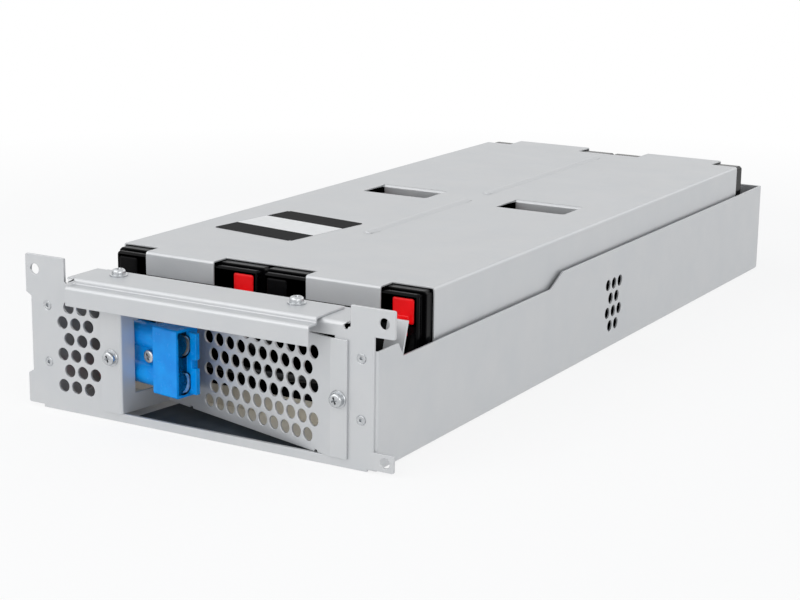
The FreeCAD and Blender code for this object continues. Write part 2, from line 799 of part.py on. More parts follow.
def make_handle_plate():
    """A plate on the crossbar that joggles down at the front and turns down into a grip lip."""
    shelf_high = handle_high - handle_riser
    path = [(handle_back, handle_high), (handle_riser_y, handle_high), (handle_riser_y, shelf_high),
            (-handle_reach, shelf_high), (-handle_reach, shelf_high - handle_lip)]
    grip = fold("YZ", path, handle_sheet, fold_inside, handle_left, handle_right - handle_left)
    wing = plate("XY", [(handle_left - handle_wing, handle_riser_y / 2, 0), (handle_left, handle_riser_y / 2, 0),
                        (handle_left, handle_back, 0), (handle_left - handle_wing, handle_back, 0)],
                 handle_low, handle_sheet)
    handle = join([grip, wing])
    chamfer = plate("XY", [(handle_left - handle_wing - 1, handle_back - handle_corner, 0),
                           (handle_left - handle_wing, handle_back - handle_corner, 0),
                           (handle_left - handle_wing + handle_corner_width, handle_back, 0),
                           (handle_left - handle_wing + handle_corner_width, handle_back + 1, 0),
                           (handle_left - handle_wing - 1, handle_back + 1, 0)],
                    handle_low - 1, handle_sheet + 2)
    cuts = [chamfer]
    for x in handle_screw_places():
        cuts.append(bar(x, handle_screw_y, handle_low - 1, screw_shank_radius + screw_hole_clearance,
                        handle_sheet + 2, FreeCAD.Vector(0, 0, 1), fastener_sides))
    return handle.cut(cuts)


def make_handle_washers():
    """A plain washer under each handle screw."""
    up = FreeCAD.Vector(0, 0, 1)
    hole = screw_shank_radius + screw_hole_clearance
    washers = []
    for x in handle_screw_places():
        disc = bar(x, handle_screw_y, handle_high, washer_radius, washer_sheet, up, fastener_sides)
        eye = bar(x, handle_screw_y, handle_high - 1, hole, washer_sheet + 2, up, fastener_sides)
        washers.append(disc.cut(eye))
    return washers


def make_handle_screws():
    """The two screws that hold the handle plate to the crossbar."""
    return [screw(x, handle_screw_y, handle_high + washer_sheet, screw_length, FreeCAD.Vector(0, 0, 1))
            for x in handle_screw_places()]


def make_battery_cover():
    """One folded sheet over all eight batteries, with side flanges, four end tabs,
    two finger slots that have a turned-down rear edge, and two stiffening beads."""
    x0 = battery_shift - cover_half
    x1 = battery_shift + cover_half
    parts = [fold("XZ", [(x0, cover_flange_low), (x0, cover_high), (x1, cover_high), (x1, cover_flange_low)],
                  -cover_sheet, fold_inside, cover_edge_front, cover_edge_rear - cover_edge_front)]
    drop = cover_high - cover_tab_drop
    for left, right in spans(cover_half - front_tab_in, front_tab_inner):
        parts.append(fold("YZ", [(cover_edge_front + 1, cover_high), (cover_tab_front, cover_high),
                                 (cover_tab_front, drop)], cover_sheet, fold_inside, left, right - left))
    for left, right in spans(cover_half - rear_tab_in, rear_tab_inner):
        parts.append(fold("YZ", [(cover_edge_rear - 1, cover_high), (cover_tab_rear, cover_high),
                                 (cover_tab_rear, drop)], -cover_sheet, fold_inside, left, right - left))
    cover = join(parts)
    cuts = []
    lips = []
    bend = fold_inside + cover_sheet
    lip_back = middle_back - cover_clearance
    for left, right in spans(cover_half - slot_in, slot_inner):
        cuts.append(plate("XY", [(left, lip_back - slot_length, slot_corner),
                                 (right, lip_back - slot_length, slot_corner),
                                 (right, lip_back, 0), (left, lip_back, 0)],
                          cover_high - cover_sheet - 1, cover_sheet + 2))
        lips.append(fold("YZ", [(lip_back + bend, cover_high), (lip_back - cover_sheet, cover_high),
                                (lip_back - cover_sheet, cover_high - slot_flange)],
                         cover_sheet, fold_inside, left + slot_flange_gap, right - left - 2 * slot_flange_gap))
    cover = cover.cut(cuts)
    beads = [bead(cover_edge_front + bead_from_front, middle_front + bead_past_gap_front),
             bead(middle_back + bead_behind_slots, cover_edge_rear - bead_from_rear)]
    return join([cover] + lips + beads)


def spans(outer, inner):
    """Left and right spans, each as far from the cover's middle as the other."""
    return [(battery_shift - outer, battery_shift - inner), (battery_shift + inner, battery_shift + outer)]


def bead(start, end):
    """A low pressed bead along the cover's middle, with round ends."""
    half = bead_width / 2
    round_radius = (half * half + bead_height * bead_height) / (2 * bead_height)
    middle = cover_high + bead_height - round_radius
    bar = rod(battery_shift, start, middle, round_radius, end - start, FreeCAD.Vector(0, 1, 0))
    keep = plate("XY", [(battery_shift - half, start, half * 0.98), (battery_shift + half, start, half * 0.98),
                        (battery_shift + half, end, half * 0.98), (battery_shift - half, end, half * 0.98)],
                 cover_high - cover_sheet / 2, bead_height + cover_sheet)
    return bar.common(keep)


def battery_places():
    """Name, left edge, terminal face and the way it faces, for each battery from the front."""
    places = []
    for row in range(battery_rows):
        pair = row // 2
        base = battery_front if pair == 0 else middle_back
        if row % 2 == 0:
            face = base
            facing = -1
        else:
            face = base + row_pair
            facing = 1
        for name, left in (("left", battery_shift - half_pair),
                           ("right", battery_shift + battery_side_gap / 2)):
            places.append(("battery_%d_%s" % (row + 1, name), left, face, facing))
    return places


def make_battery():
    """A sealed battery on its side, facing -Y, from its left bottom front corner: a box case
    and an inset lid with two terminal wells."""
    case = block(0, battery_width, lid_length, battery_length, 0, battery_height)
    case = case.makeChamfer(case_edge, [edge for edge in case.Edges if is_along_y(edge)])
    neck = block(lid_side_inset + seam_depth, battery_width - lid_side_inset - seam_depth,
                 lid_length - seam_width, lid_length + 1,
                 lid_top_inset + seam_depth, battery_height - lid_top_inset - seam_depth)
    lid = block(lid_side_inset, battery_width - lid_side_inset, 0, lid_length - seam_width,
                lid_top_inset, battery_height - lid_top_inset)
    lid = lid.makeChamfer(lid_edge, [edge for edge in lid.Edges if edge.BoundBox.YMin < 1e-6])
    battery = join([case, neck, lid])
    cuts = []
    for x in (terminal_inset, battery_width - terminal_inset):
        across = boot_width / 2 + well_clearance
        up = boot_height / 2 + well_clearance
        cuts.append(block(x - across, x + across, -1, well_depth, terminal_height - up, terminal_height + up))
    return battery.cut(cuts)


def is_along_y(edge):
    """True for a straight edge that runs along Y."""
    box = edge.BoundBox
    return box.XLength < 1e-6 and box.ZLength < 1e-6


def terminal_places():
    """Centre, face and facing of each terminal, split into red and black ends."""
    red = []
    black = []
    for name, left, face, facing in battery_places():
        low_end = left + terminal_inset
        high_end = left + battery_width - terminal_inset
        if facing < 0:
            red.append((high_end, face, facing))
            black.append((low_end, face, facing))
        else:
            red.append((low_end, face, facing))
            black.append((high_end, face, facing))
    return red, black


def make_terminals():
    """The sixteen flat push-on blades."""
    blades = []
    for x, face, facing in terminal_places()[0] + terminal_places()[1]:
        inner = face - facing * well_depth
        outer = inner + facing * blade_length
        z = battery_low + terminal_height
        blades.append(block(x - blade_width / 2, x + blade_width / 2, min(inner, outer), max(inner, outer),
                            z - blade_sheet / 2, z + blade_sheet / 2))
    return blades


def make_boots(places):
    """Moulded boots that fill the terminal wells, each with a slot for its blade and, low on its
    front, a sleeve for its lead."""
    boots = []
    for x, face, facing in places:
        inner = face - facing * well_depth
        outer = face + facing * boot_proud
        sleeve_front = face + facing * boot_sleeve_reach
        z = battery_low + terminal_height
        low = z - boot_height / 2
        boot = block(x - boot_width / 2, x + boot_width / 2, min(inner, outer), max(inner, outer),
                     low, z + boot_height / 2)
        boot = boot.makeChamfer(boot_edge, [edge for edge in boot.Edges
                                            if abs(edge.CenterOfMass.y - outer) < 1e-6])
        slot_end = inner + facing * blade_length
        gap = boot_slot_clearance
        slot = block(x - blade_width / 2 - gap, x + blade_width / 2 + gap,
                     min(inner, slot_end) - gap, max(inner, slot_end) + gap,
                     z - blade_sheet / 2 - gap, z + blade_sheet / 2 + gap)
        sleeve = block(x - boot_sleeve_width / 2, x + boot_sleeve_width / 2,
                       min(outer, sleeve_front), max(outer, sleeve_front),
                       low - boot_sleeve_drop, low + boot_sleeve_rise)
        boots.append(join([boot.cut(slot), sleeve]))
    return boots


def make_base_pad():
    """The insulating sheet between the tray's floor and the batteries."""
    return block(battery_shift - half_pair, battery_shift + half_pair, battery_front, rear_face,
                 tray_sheet, battery_low)


def boot_low():
    """The underside of every boot's sleeve, where a lead leaves it."""
    return battery_low + terminal_height - boot_height / 2 - boot_sleeve_drop


def barrel_mouth(side):
    """The bottom of a wire bore and the point where its lead leaves the connector."""
    middle = connector_root + along_wall * connector_half
    middle.z = recess_middle + side * connector_barrel_spacing / 2
    bottom = middle + off_wall * (connector_tail + connector_bore_depth)
    leave = middle + off_wall * (connector_tail - 2 * lead_radius)
    return bottom, leave


def boot_centre(place):
    """The point under a boot where its lead starts."""
    x, face, facing = place
    return (x, face + facing * (boot_proud + boot_sleeve_reach) / 2, boot_low())


def make_leads():
    """The two main leads, each made whole along the way it is held."""
    red, black = terminal_places()
    inner_end, leave = barrel_mouth(1)
    x, y, z = boot_centre(black[0])
    leads = {"black_lead": lead([inner_end, leave, (x, y, z - 16), (x, y, z)])}
    inner_end, leave = barrel_mouth(-1)
    x, y, z = boot_centre(red[6])
    low = red_lead_height
    behind = rear_face + rear_space / 2
    side = channel_x()
    leads["red_lead"] = lead([inner_end, leave, (side + 12, battery_front - 23, low + 3),
                              (side, battery_front, low), (side, behind - lead_apart, low),
                              (x - 4, behind - lead_apart, low + 20), (x, y, z - 14), (x, y, z)])
    return leads


def channel_x():
    """The middle of the channel between the batteries and the tray's left wall."""
    return (battery_shift - cover_half - inner_wall) / 2


def make_links():
    """The seven links that join the eight batteries in series."""
    red, black = terminal_places()
    side = channel_x()
    links = {}
    x, y, z = boot_centre(red[1])
    to_x, to_y, to_z = boot_centre(black[2])
    links["front_link"] = lead([(x, y, z), (x, y, link_height), (side, y, link_height),
                                (side, to_y, link_height), (to_x, to_y, link_height), (to_x, to_y, to_z)])
    x, y, z = boot_centre(red[3])
    across_y = boot_centre(red[4])[1]
    to_x, to_y, to_z = boot_centre(black[7])
    behind = rear_face + rear_space / 2
    links["rear_link"] = lead([(x, y, z), (x, y, link_height), (x - 9, across_y, link_height),
                               (side, across_y, link_height), (side, behind + lead_apart, link_height),
                               (to_x, behind + lead_apart, link_height), (to_x, to_y, to_z - 14),
                               (to_x, to_y, to_z)])
    pairs = {"front_jumper": (red[0], black[1]), "middle_jumper_left": (red[2], black[4]),
             "middle_jumper_centre": (red[4], black[5]), "middle_jumper_right": (red[5], black[3]),
             "rear_jumper": (red[7], black[6])}
    for name, ends in pairs.items():
        a = boot_centre(ends[0])
        b = boot_centre(ends[1])
        low = a[2] - jumper_drop
        links[name] = lead([a, (a[0], a[1], low), (b[0], b[1], low), b])
    return links


def save(name, shapes):
    """Writes one node, as one solid or a group of separate solids."""
    if not isinstance(shapes, list):
        shapes = [shapes]
    solids = []
    for shape in shapes:
        solids.extend(shape.Solids)
    moved = []
    for solid in solids:
        copy = solid.copy()
        copy.translate(FreeCAD.Vector(0, -footprint_middle, 0))
        moved.append(copy)
    whole = moved[0] if len(moved) == 1 else Part.makeCompound(moved)
    if not whole.isValid():
        print("not valid:", name)
    whole.exportStep(os.path.join("parts", name + ".step"))
    print(name, len(moved), "solids", round(sum(solid.Volume for solid in moved) / 1000, 2), "cm3")


def main():
    os.makedirs("parts", exist_ok=True)
    save("tray", make_tray())
    save("front_frame", make_front_frame())
    save("frame_rivets", make_frame_rivets())
    save("recess_cover", make_recess_cover())
    save("recess_screws", make_recess_screws())
    save("handle_plate", make_handle_plate())
    save("handle_washers", make_handle_washers())
    save("handle_screws", make_handle_screws())
    save("battery_cover", make_battery_cover())
    save("base_pad", make_base_pad())
    for name, left, face, facing in battery_places():
        battery = make_battery()
        if facing > 0:
            battery.rotate(FreeCAD.Vector(0, 0, 0), FreeCAD.Vector(0, 0, 1), 180)
            battery.translate(FreeCAD.Vector(battery_width, 0, 0))
        battery.translate(FreeCAD.Vector(left, face, battery_low))
        save(name, battery)
    red, black = terminal_places()
    save("battery_terminals", make_terminals())
    save("red_boots", make_boots(red))
    save("black_boots", make_boots(black))
    save("connector_housing", make_connector_housing())
    save("connector_contacts", make_connector_contacts())
    save("connector_screw", make_connector_screw())
    for name, shape in make_leads().items():
        save(name, shape)
    for name, shape in make_links().items():
        save(name, shape)


main()
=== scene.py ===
import math

import bmesh
import bpy
from bpy.props import FloatProperty, FloatVectorProperty, IntProperty, PointerProperty
from mathutils import Matrix, Vector
from mathutils.bvhtree import BVHTree


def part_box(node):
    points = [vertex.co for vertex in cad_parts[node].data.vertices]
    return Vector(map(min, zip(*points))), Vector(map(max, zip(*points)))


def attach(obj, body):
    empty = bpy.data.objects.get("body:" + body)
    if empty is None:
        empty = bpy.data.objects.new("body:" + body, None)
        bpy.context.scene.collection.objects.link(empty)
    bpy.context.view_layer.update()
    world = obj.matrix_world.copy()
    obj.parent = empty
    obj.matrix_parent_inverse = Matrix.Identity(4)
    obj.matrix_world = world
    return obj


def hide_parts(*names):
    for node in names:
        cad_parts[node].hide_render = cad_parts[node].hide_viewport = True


bl_info = {
    "name": "Battery cartridge",
    "version": (1, 0, 0),
    "blender": (4, 5, 0),
    "location": "3D View > Sidebar > Cartridge",
    "description": "Dresses a slide-in battery cartridge: folded sheet, fasteners, batteries and connector",
    "category": "Object",
}

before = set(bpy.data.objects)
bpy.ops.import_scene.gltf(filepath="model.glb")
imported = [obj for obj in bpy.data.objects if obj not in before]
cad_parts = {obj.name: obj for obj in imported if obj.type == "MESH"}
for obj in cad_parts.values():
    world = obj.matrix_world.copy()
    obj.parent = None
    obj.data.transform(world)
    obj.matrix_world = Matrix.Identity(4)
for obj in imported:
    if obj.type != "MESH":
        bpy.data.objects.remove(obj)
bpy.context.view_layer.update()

# Places and sizes of the CAD part, in metres. A LIFT keeps two touching faces from flickering.
BODY = "root"
STEEL = 0.0012
LIFT = 0.00002
BATTERY_AND_COVER = 0.0712
FRONT_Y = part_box("front_frame")[0][1]
FLOOR_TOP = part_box("base_pad")[0][2]
COVER_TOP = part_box("base_pad")[1][2] + BATTERY_AND_COVER

# The recess cover is one sheet folded in plan. Its connector wall runs back from RECESS_LEFT to
# RECESS_CORNER, and its angled wall from there forward to RECESS_RIGHT.
RECESS_LEFT = Vector((-0.0465, FRONT_Y - STEEL, 0.0))
RECESS_RIGHT = Vector((0.0726, FRONT_Y - STEEL, 0.0))
RECESS_CORNER = Vector((-0.041295, FRONT_Y + 0.030831, 0.0))
RECESS_LEAN = math.radians(9.23)

# The connector's own frame: X out of the connector wall, Y back along it and Z up from its middle.
CONNECTOR_ROOT = Vector((-0.044928, FRONT_Y + 0.008473, 0.0323))
CONNECTOR_FRAME = Matrix.Translation(CONNECTOR_ROOT) @ Matrix.Rotation(-RECESS_LEAN, 4, "Z")

# Where the perforated fields start. The angled wall's first hole is inset from its right end. A side wall's
# field is centred a little before the middle of the space behind the second row of batteries.
FRONT_FIELD = Vector((-0.083, FRONT_Y, 0.01305))
GRILLE_INSET = 0.0112
GRILLE_RISE = 0.0114
HALF_MIDDLE_SPACE = 0.015
WALL_FIELD_BEFORE_MIDDLE = 0.0008
WALL_FIELD_X = 0.0954
WALL_FIELD_RISE = 0.0128
PUNCH_LENGTH = 0.009

LABEL_CENTRE = Vector((-0.0428, FRONT_Y + 0.1409, 0.0))
LEAD_RADIUS = 0.00218


def srgb(code, alpha=1.0):
    """A hex sRGB colour as Blender's linear values."""
    channels = [int(code[i:i + 2], 16) / 255 for i in (0, 2, 4)]
    return [c / 12.92 if c <= 0.04045 else ((c + 0.055) / 1.055) ** 2.4 for c in channels] + [alpha]


def add_node(tree, kind, settings=None, **links):
    """Adds a node, sets its properties and sockets, and links its inputs to the sockets they read from.
    A link's underscores stand for spaces, and in_ with a number is the input of that index."""
    node = tree.nodes.new(kind)
    for name, value in (settings or {}).items():
        if isinstance(name, int) or name in node.inputs:
            node.inputs[name].default_value = value
        else:
            setattr(node, name, value)
    for name, source in links.items():
        if name.startswith("in_"):
            target = node.inputs[int(name[3:])]
        else:
            target = node.inputs[name.replace("_", " ")]
        tree.links.new(source, target)
    return node


# Materials


def pattern(tree, size, window=(0.0, 1.0), values=(0.0, 1.0), detail=3.0, roughness=0.5, stretch=(1, 1, 1)):
    """A noise on object coordinates whose largest blobs measure the given size in millimetres. The part of
    its range inside the window is spread over the values."""
    place = add_node(tree, "ShaderNodeTexCoord").outputs["Object"]
    sized = add_node(tree, "ShaderNodeMapping", {"Scale": [1000.0 / size * way for way in stretch]},
                     Vector=place)
    noise = add_node(tree, "ShaderNodeTexNoise", {"Scale": 1.0, "Detail": detail, "Roughness": roughness},
                     Vector=sized.outputs[0])
    limits = {"From Min": window[0], "From Max": window[1], "To Min": values[0], "To Max": values[1]}
    return add_node(tree, "ShaderNodeMapRange", limits, Value=noise.outputs["Fac"]).outputs["Result"]


def finish(name, colours=None, gloss=None, relief=(), **constants):
    """A principled material. colours is (first, second, pattern) and gloss the roughness's pattern. Each
    relief is (strength, depth in mm, pattern), and a later one lies on the earlier. The constants name the
    shader's sockets, with underscores for spaces."""
    material = bpy.data.materials.new(name)
    material.use_nodes = True
    tree = material.node_tree
    shader = tree.nodes["Principled BSDF"]
    for socket, value in constants.items():
        shader.inputs[socket.replace("_", " ")].default_value = value
    if colours:
        first, second, mottle = colours
        blend = add_node(tree, "ShaderNodeMix", {"data_type": "RGBA", 6: first, 7: second},
                         in_0=pattern(tree, **mottle))
        tree.links.new(blend.outputs[2], shader.inputs["Base Color"])
    if gloss:
        tree.links.new(pattern(tree, **gloss), shader.inputs["Roughness"])
    below = {}
    for strength, depth, grain in relief:
        bump = add_node(tree, "ShaderNodeBump", {"Strength": strength, "Distance": depth / 1000.0},
                        Height=pattern(tree, **grain), **below)
        below = {"Normal": bump.outputs["Normal"]}
        tree.links.new(bump.outputs["Normal"], shader.inputs["Normal"])
    return material


def galvanised_sheet(settings):
    """Cold-rolled steel with a smooth zinc coat: an even pale grey with a faint bloom about 20 mm across,
    fine rolling lines along the sheet, and handling marks that dull the gloss a little."""
    return finish("galvanised cold-rolled sheet", Metallic=0.45,
                  colours=(settings.sheet_dark, settings.sheet_light,
                           dict(size=20.0, window=(0.3, 0.7), detail=4.0, roughness=0.55)),
                  gloss=dict(size=38.0, window=(0.35, 0.7), values=(0.38, 0.44), detail=5.0, roughness=0.6),
                  relief=[(0.03, 0.01, dict(size=0.6, detail=2.0, roughness=0.6)),
                          (0.02, 0.01, dict(size=1.6, detail=2.0, roughness=0.6, stretch=(1.0, 0.03, 1.0)))])


def zinc_plate(settings):
    """Zinc-plated steel, barrel plated: a little darker and glossier than the sheet, with fine pitting."""
    return finish("zinc-plated fastener steel", Metallic=1.0,
                  colours=(srgb("A8ABAE"), settings.fastener_colour, dict(size=1.5)),
                  gloss=dict(size=0.8, window=(0.3, 0.7), values=(0.18, 0.30)),
                  relief=[(0.1, 0.01, dict(size=0.4, detail=2.0))])


def silver_plate():
    """Silver-plated copper contact: bright, warm, slightly tarnished in patches of a few millimetres."""
    return finish("silver-plated copper", Metallic=1.0,
                  colours=(srgb("E4E1DA"), srgb("FAF9F6"), dict(size=3.0, window=(0.4, 0.7), detail=4.0)),
                  gloss=dict(size=2.0, window=(0.3, 0.7), values=(0.38, 0.5)))


def painted_shade_spring():
    """A contact spring coloured almost black as painted shade for the contact's pocket, with a satin gloss
    that varies over a few millimetres.
    """
    return finish("blued spring steel", Metallic=0.6,
                  colours=(srgb("0C0D12"), srgb("16181F"), dict(size=2.5)),
                  gloss=dict(size=1.5, window=(0.3, 0.7), values=(0.35, 0.5)))


def tinned_brass():
    """Stamped brass tab with a tin coat: a dull, slightly warm pale grey."""
    return finish("tinned brass tab", Metallic=1.0,
                  colours=(srgb("B9B6AA"), srgb("D5D3CC"), dict(size=1.2)),
                  gloss=dict(size=1.0, window=(0.3, 0.7), values=(0.3, 0.45)))


def painted_shade_film():
    """A dark film that paints the shade on the recess's floor: near-black blue-grey, with a fine matte face
    and a faint cloudiness about 12 mm across.
    """
    return finish("dark film, painted shade", Specular_IOR_Level=0.25,
                  colours=(srgb("222B33"), srgb("2C3640"), dict(size=12.0)),
                  gloss=dict(size=9.0, window=(0.3, 0.7), values=(0.45, 0.55)),
                  relief=[(0.05, 0.01, dict(size=0.4, detail=2.0))])


def fish_paper():
    """Natural vulcanised fibre sheet under the batteries: cream, with short felted fibres about 2 mm long."""
    fibres = dict(size=2.0, detail=4.0, roughness=0.7, stretch=(1.0, 0.25, 1.0))
    return finish("vulcanised fibre sheet", Roughness=0.85,
                  colours=(srgb("EBE2CF"), srgb("FBF6EA"), fibres), relief=[(0.3, 0.05, fibres)])


def moulded_plastic(name, dark, light, gloss, grain, depth, sheen=0.5):
    """A moulded plastic: an even colour with a faint flow pattern about 9 mm across, a gloss between two
    roughnesses, and the tool's grain, whose size and depth are in millimetres."""
    return finish(name, Specular_IOR_Level=sheen,
                  colours=(dark, light, dict(size=9.0, window=(0.35, 0.7))),
                  gloss=dict(size=6.0, window=(0.35, 0.7), values=gloss, detail=4.0, roughness=0.6),
                  relief=[(0.25, depth, dict(size=grain, detail=2.0))])


def coated_label(settings):
    """Coated paper label: white stock with two plain dark printed bands, and a faint paper tooth."""
    label = finish("coated label paper", Roughness=0.6, Specular_IOR_Level=0.05,
                   colours=(srgb("F2F2F0"), srgb("FFFFFF"), dict(size=5.0)),
                   relief=[(0.1, 0.01, dict(size=0.3, detail=2.0))])
    tree = label.node_tree
    base = tree.nodes["Principled BSDF"].inputs["Base Color"]
    paper = base.links[0].from_socket
    ink = add_node(tree, "ShaderNodeMix", {"data_type": "RGBA", 6: srgb("08080A"), 7: srgb("121214")},
                   in_0=pattern(tree, size=4.0))
    place = add_node(tree, "ShaderNodeTexCoord").outputs["Object"]
    centred = add_node(tree, "ShaderNodeMapping",
                       {"vector_type": "TEXTURE", "Location": LABEL_CENTRE,
                        "Rotation": (0, 0, settings.label_turn)}, Vector=place)
    along = add_node(tree, "ShaderNodeSeparateXYZ", None, Vector=centred.outputs[0]).outputs["Y"]
    above = add_node(tree, "ShaderNodeMath", {"operation": "ABSOLUTE"}, in_0=along)
    dark = add_node(tree, "ShaderNodeMath", {"operation": "GREATER_THAN", 1: settings.label_band / 2},
                    in_0=above.outputs[0])
    banded = add_node(tree, "ShaderNodeMix", {"data_type": "RGBA"}, in_0=dark.outputs[0], in_6=paper,
                      in_7=ink.outputs[2])
    tree.links.new(banded.outputs[2], base)
    return label


def seen_or_mirrored(tree):
    """1 for what the camera sees, straight or in metal and glass, and 0 for what lights the object."""
    path = add_node(tree, "ShaderNodeLightPath").outputs
    mirrored = add_node(tree, "ShaderNodeMath", {"operation": "MAXIMUM"}, in_0=path["Is Glossy Ray"],
                        in_1=path["Is Transmission Ray"])
    return add_node(tree, "ShaderNodeMath", {"operation": "MAXIMUM"}, in_0=path["Is Camera Ray"],
                    in_1=mirrored.outputs[0]).outputs[0]


def studio_paper(settings):
    """Matte white studio paper: it keeps the object's shadow near by and turns plain white further off."""
    near, far = 0.45, 0.8
    paper = finish("matte studio paper", Base_Color=settings.floor_colour, Roughness=0.9,
                   Specular_IOR_Level=0.1)
    tree = paper.node_tree
    place = add_node(tree, "ShaderNodeTexCoord").outputs["Object"]
    away = add_node(tree, "ShaderNodeVectorMath", {"operation": "LENGTH"}, in_0=place).outputs["Value"]
    limits = {"From Min": near, "From Max": far, "To Min": settings.floor_white, "To Max": 1.0}
    share = add_node(tree, "ShaderNodeMapRange", limits, Value=away).outputs["Result"]
    plain = add_node(tree, "ShaderNodeMath", {"operation": "MULTIPLY"}, in_0=seen_or_mirrored(tree),
                     in_1=share)
    white = add_node(tree, "ShaderNodeEmission", {"Color": srgb("FFFFFF"), "Strength": 1.0})
    mix = add_node(tree, "ShaderNodeMixShader", None, in_0=plain.outputs[0],
                   in_1=tree.nodes["Principled BSDF"].outputs[0], in_2=white.outputs[0])
    tree.links.new(mix.outputs[0], tree.nodes["Material Output"].inputs["Surface"])
    return paper


# Mesh helpers


def add_piece(name, mesh, material, record_slot, *nodes):
    """Puts a finished mesh in the scene, on its body, with its material, in place of its CAD nodes."""
    piece = bpy.data.objects.new(name, mesh)
    bpy.context.scene.collection.objects.link(piece)
    mesh.materials.clear()
    mesh.materials.append(material)
    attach(piece, BODY)
    if nodes:
        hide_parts(*nodes)
    return piece


def scratch(name, data):
    """An object that only carries modifiers or a curve until its mesh is taken."""
    obj = bpy.data.objects.new(name, data)
    bpy.context.scene.collection.objects.link(obj)
    return obj


def finished(obj, sharp=None):
    """The evaluated mesh of an object with its modifiers. Softened edges keep the normals they have, and a
    mesh without them turns smooth but for the edges sharper than the given angle in degrees."""
    bpy.context.view_layer.update()
    depsgraph = bpy.context.evaluated_depsgraph_get()
    mesh = bpy.data.meshes.new_from_object(obj.evaluated_get(depsgraph))
    bpy.data.objects.remove(obj)
    if sharp is not None:
        mesh.shade_smooth()
        mesh.set_sharp_from_angle(angle=math.radians(sharp))
    return mesh


def bmesh_mesh(name, bm, smooth=True):
    """Turns a bmesh into a mesh."""
    mesh = bpy.data.meshes.new(name)
    bm.to_mesh(mesh)
    bm.free()
    if smooth:
        mesh.shade_smooth()
    return mesh


def merged_copy(node):
    """A clean copy of a CAD node's mesh: doubles merged, and flat faces made whole again."""
    same_place, same_plane = 2e-6, math.radians(0.6)
    bm = bmesh.new()
    bm.from_mesh(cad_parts[node].data)
    bmesh.ops.remove_doubles(bm, verts=bm.verts, dist=same_place)
    bmesh.ops.dissolve_limit(bm, angle_limit=same_plane, verts=bm.verts, edges=bm.edges,
                             use_dissolve_boundaries=False)
    return bmesh_mesh(node + " form", bm)


def settled(mesh, node):
    """Puts what a rounding threw out of a sharp corner back on its CAD node's face, and keeps the whole mesh
    inside the node's box."""
    thrown = 0.00009
    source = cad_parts[node].data
    faces = BVHTree.FromPolygons([v.co for v in source.vertices], [p.vertices for p in source.polygons])
    low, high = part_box(node)
    for vert in mesh.vertices:
        at, normal = faces.find_nearest(vert.co)[:2]
        if (vert.co - at).dot(normal) > thrown:
            vert.co = at
        vert.co = [min(max(c, a), b) for c, a, b in zip(vert.co, low, high)]
    return mesh


def soften(obj, size, segments=2):
    """Rounds the real edges of an object, so that they catch the light as sheared or moulded edges do."""
    bevel = obj.modifiers.new("soft edges", "BEVEL")
    bevel.width = size
    bevel.segments = segments
    bevel.limit_method = "ANGLE"
    bevel.angle_limit = math.radians(40)
    bevel.use_clamp_overlap = False
    obj.modifiers.new("flat faces", "WEIGHTED_NORMAL").weight = 60
    return obj


def cut_or_join(obj, tool, way):
    """Adds an exact boolean with another object."""
    step = obj.modifiers.new(way.lower(), "BOOLEAN")
    step.operation = way
    step.solver = "EXACT"
    step.use_self = True
    step.object = tool


def turned(profile, sides=32):
    """A closed turned form about Z from (radius, height) pairs that start and end on the axis."""
    bm = bmesh.new()
    rings = []
    for radius, height in profile:
        if radius == 0:
            rings.append([bm.verts.new((0, 0, height))])
            continue
        angles = [2 * math.pi * i / sides for i in range(sides)]
        rings.append([bm.verts.new((radius * math.cos(a), radius * math.sin(a), height)) for a in angles])
    for low, high in zip(rings[:-1], rings[1:]):
        for i in range(sides):
            j = (i + 1) % sides
            corners = [low[i % len(low)], low[j % len(low)], high[j % len(high)], high[i % len(high)]]
            bm.faces.new(list(dict.fromkeys(corners)))
    bmesh.ops.recalc_face_normals(bm, faces=bm.faces)
    return bm


def pan_head(radius, height, length, collar_radius=0.0, collar=0.0):
    """A pan-head screw with a cross recess, and with a pressed collar where one is asked for.
    Its head looks along +Z and its underside is at Z = 0."""
    shank, point, chamfer, rim, drawn_in, steps = 0.0019, 0.8, 0.0008, 0.42, 0.42, 7
    profile = [(0, -length), (shank * point, -length), (shank, -length + chamfer), (shank, 0)]
    if collar:
        profile += [(collar_radius - 0.0001, 0), (collar_radius, 0.0001), (collar_radius, collar - 0.00025),
                    (collar_radius - 0.00025, collar)]
    profile += [(radius, collar), (radius, collar + (height - collar) * rim)]
    dome = (height - collar) * (1 - rim)
    for step in range(1, steps):
        angle = math.radians(90 * step / steps)
        profile.append((radius * (1 - drawn_in * (1 - math.cos(angle))),
                        height - dome * (1 - math.sin(angle) ** 0.8)))
    profile.append((0, height))
    head = scratch("pan head", bmesh_mesh("pan head", turned(profile)))

    cross = bmesh.new()
    wing_length, wing_width, wing_depth, askew = radius * 1.45, radius * 0.34, 0.0034, math.radians(20)
    for turn in (0, math.pi / 2):
        made = bmesh.ops.create_cube(cross, size=1.0)["verts"]
        bmesh.ops.scale(cross, vec=(wing_length, wing_width, wing_depth), verts=made)
        for vert in made:
            if vert.co.z < 0:
                vert.co.x *= 0.4
                vert.co.y *= 0.6
        bmesh.ops.rotate(cross, cent=(0, 0, 0), matrix=Matrix.Rotation(turn + askew, 3, "Z"), verts=made)
        bmesh.ops.translate(cross, vec=(0, 0, height), verts=made)
    tool = scratch("cross recess", bmesh_mesh("cross recess", cross, False))
    cut_or_join(head, tool, "DIFFERENCE")
    mesh = finished(head, 30.0)
    bpy.data.objects.remove(tool)
    return mesh


def box_form(bm, low, high):
    """Adds a box between two corners to a bmesh."""
    made = bmesh.ops.create_cube(bm, size=1.0)["verts"]
    low, high = Vector(low), Vector(high)
    bmesh.ops.scale(bm, vec=high - low, verts=made)
    bmesh.ops.translate(bm, vec=(low + high) / 2, verts=made)


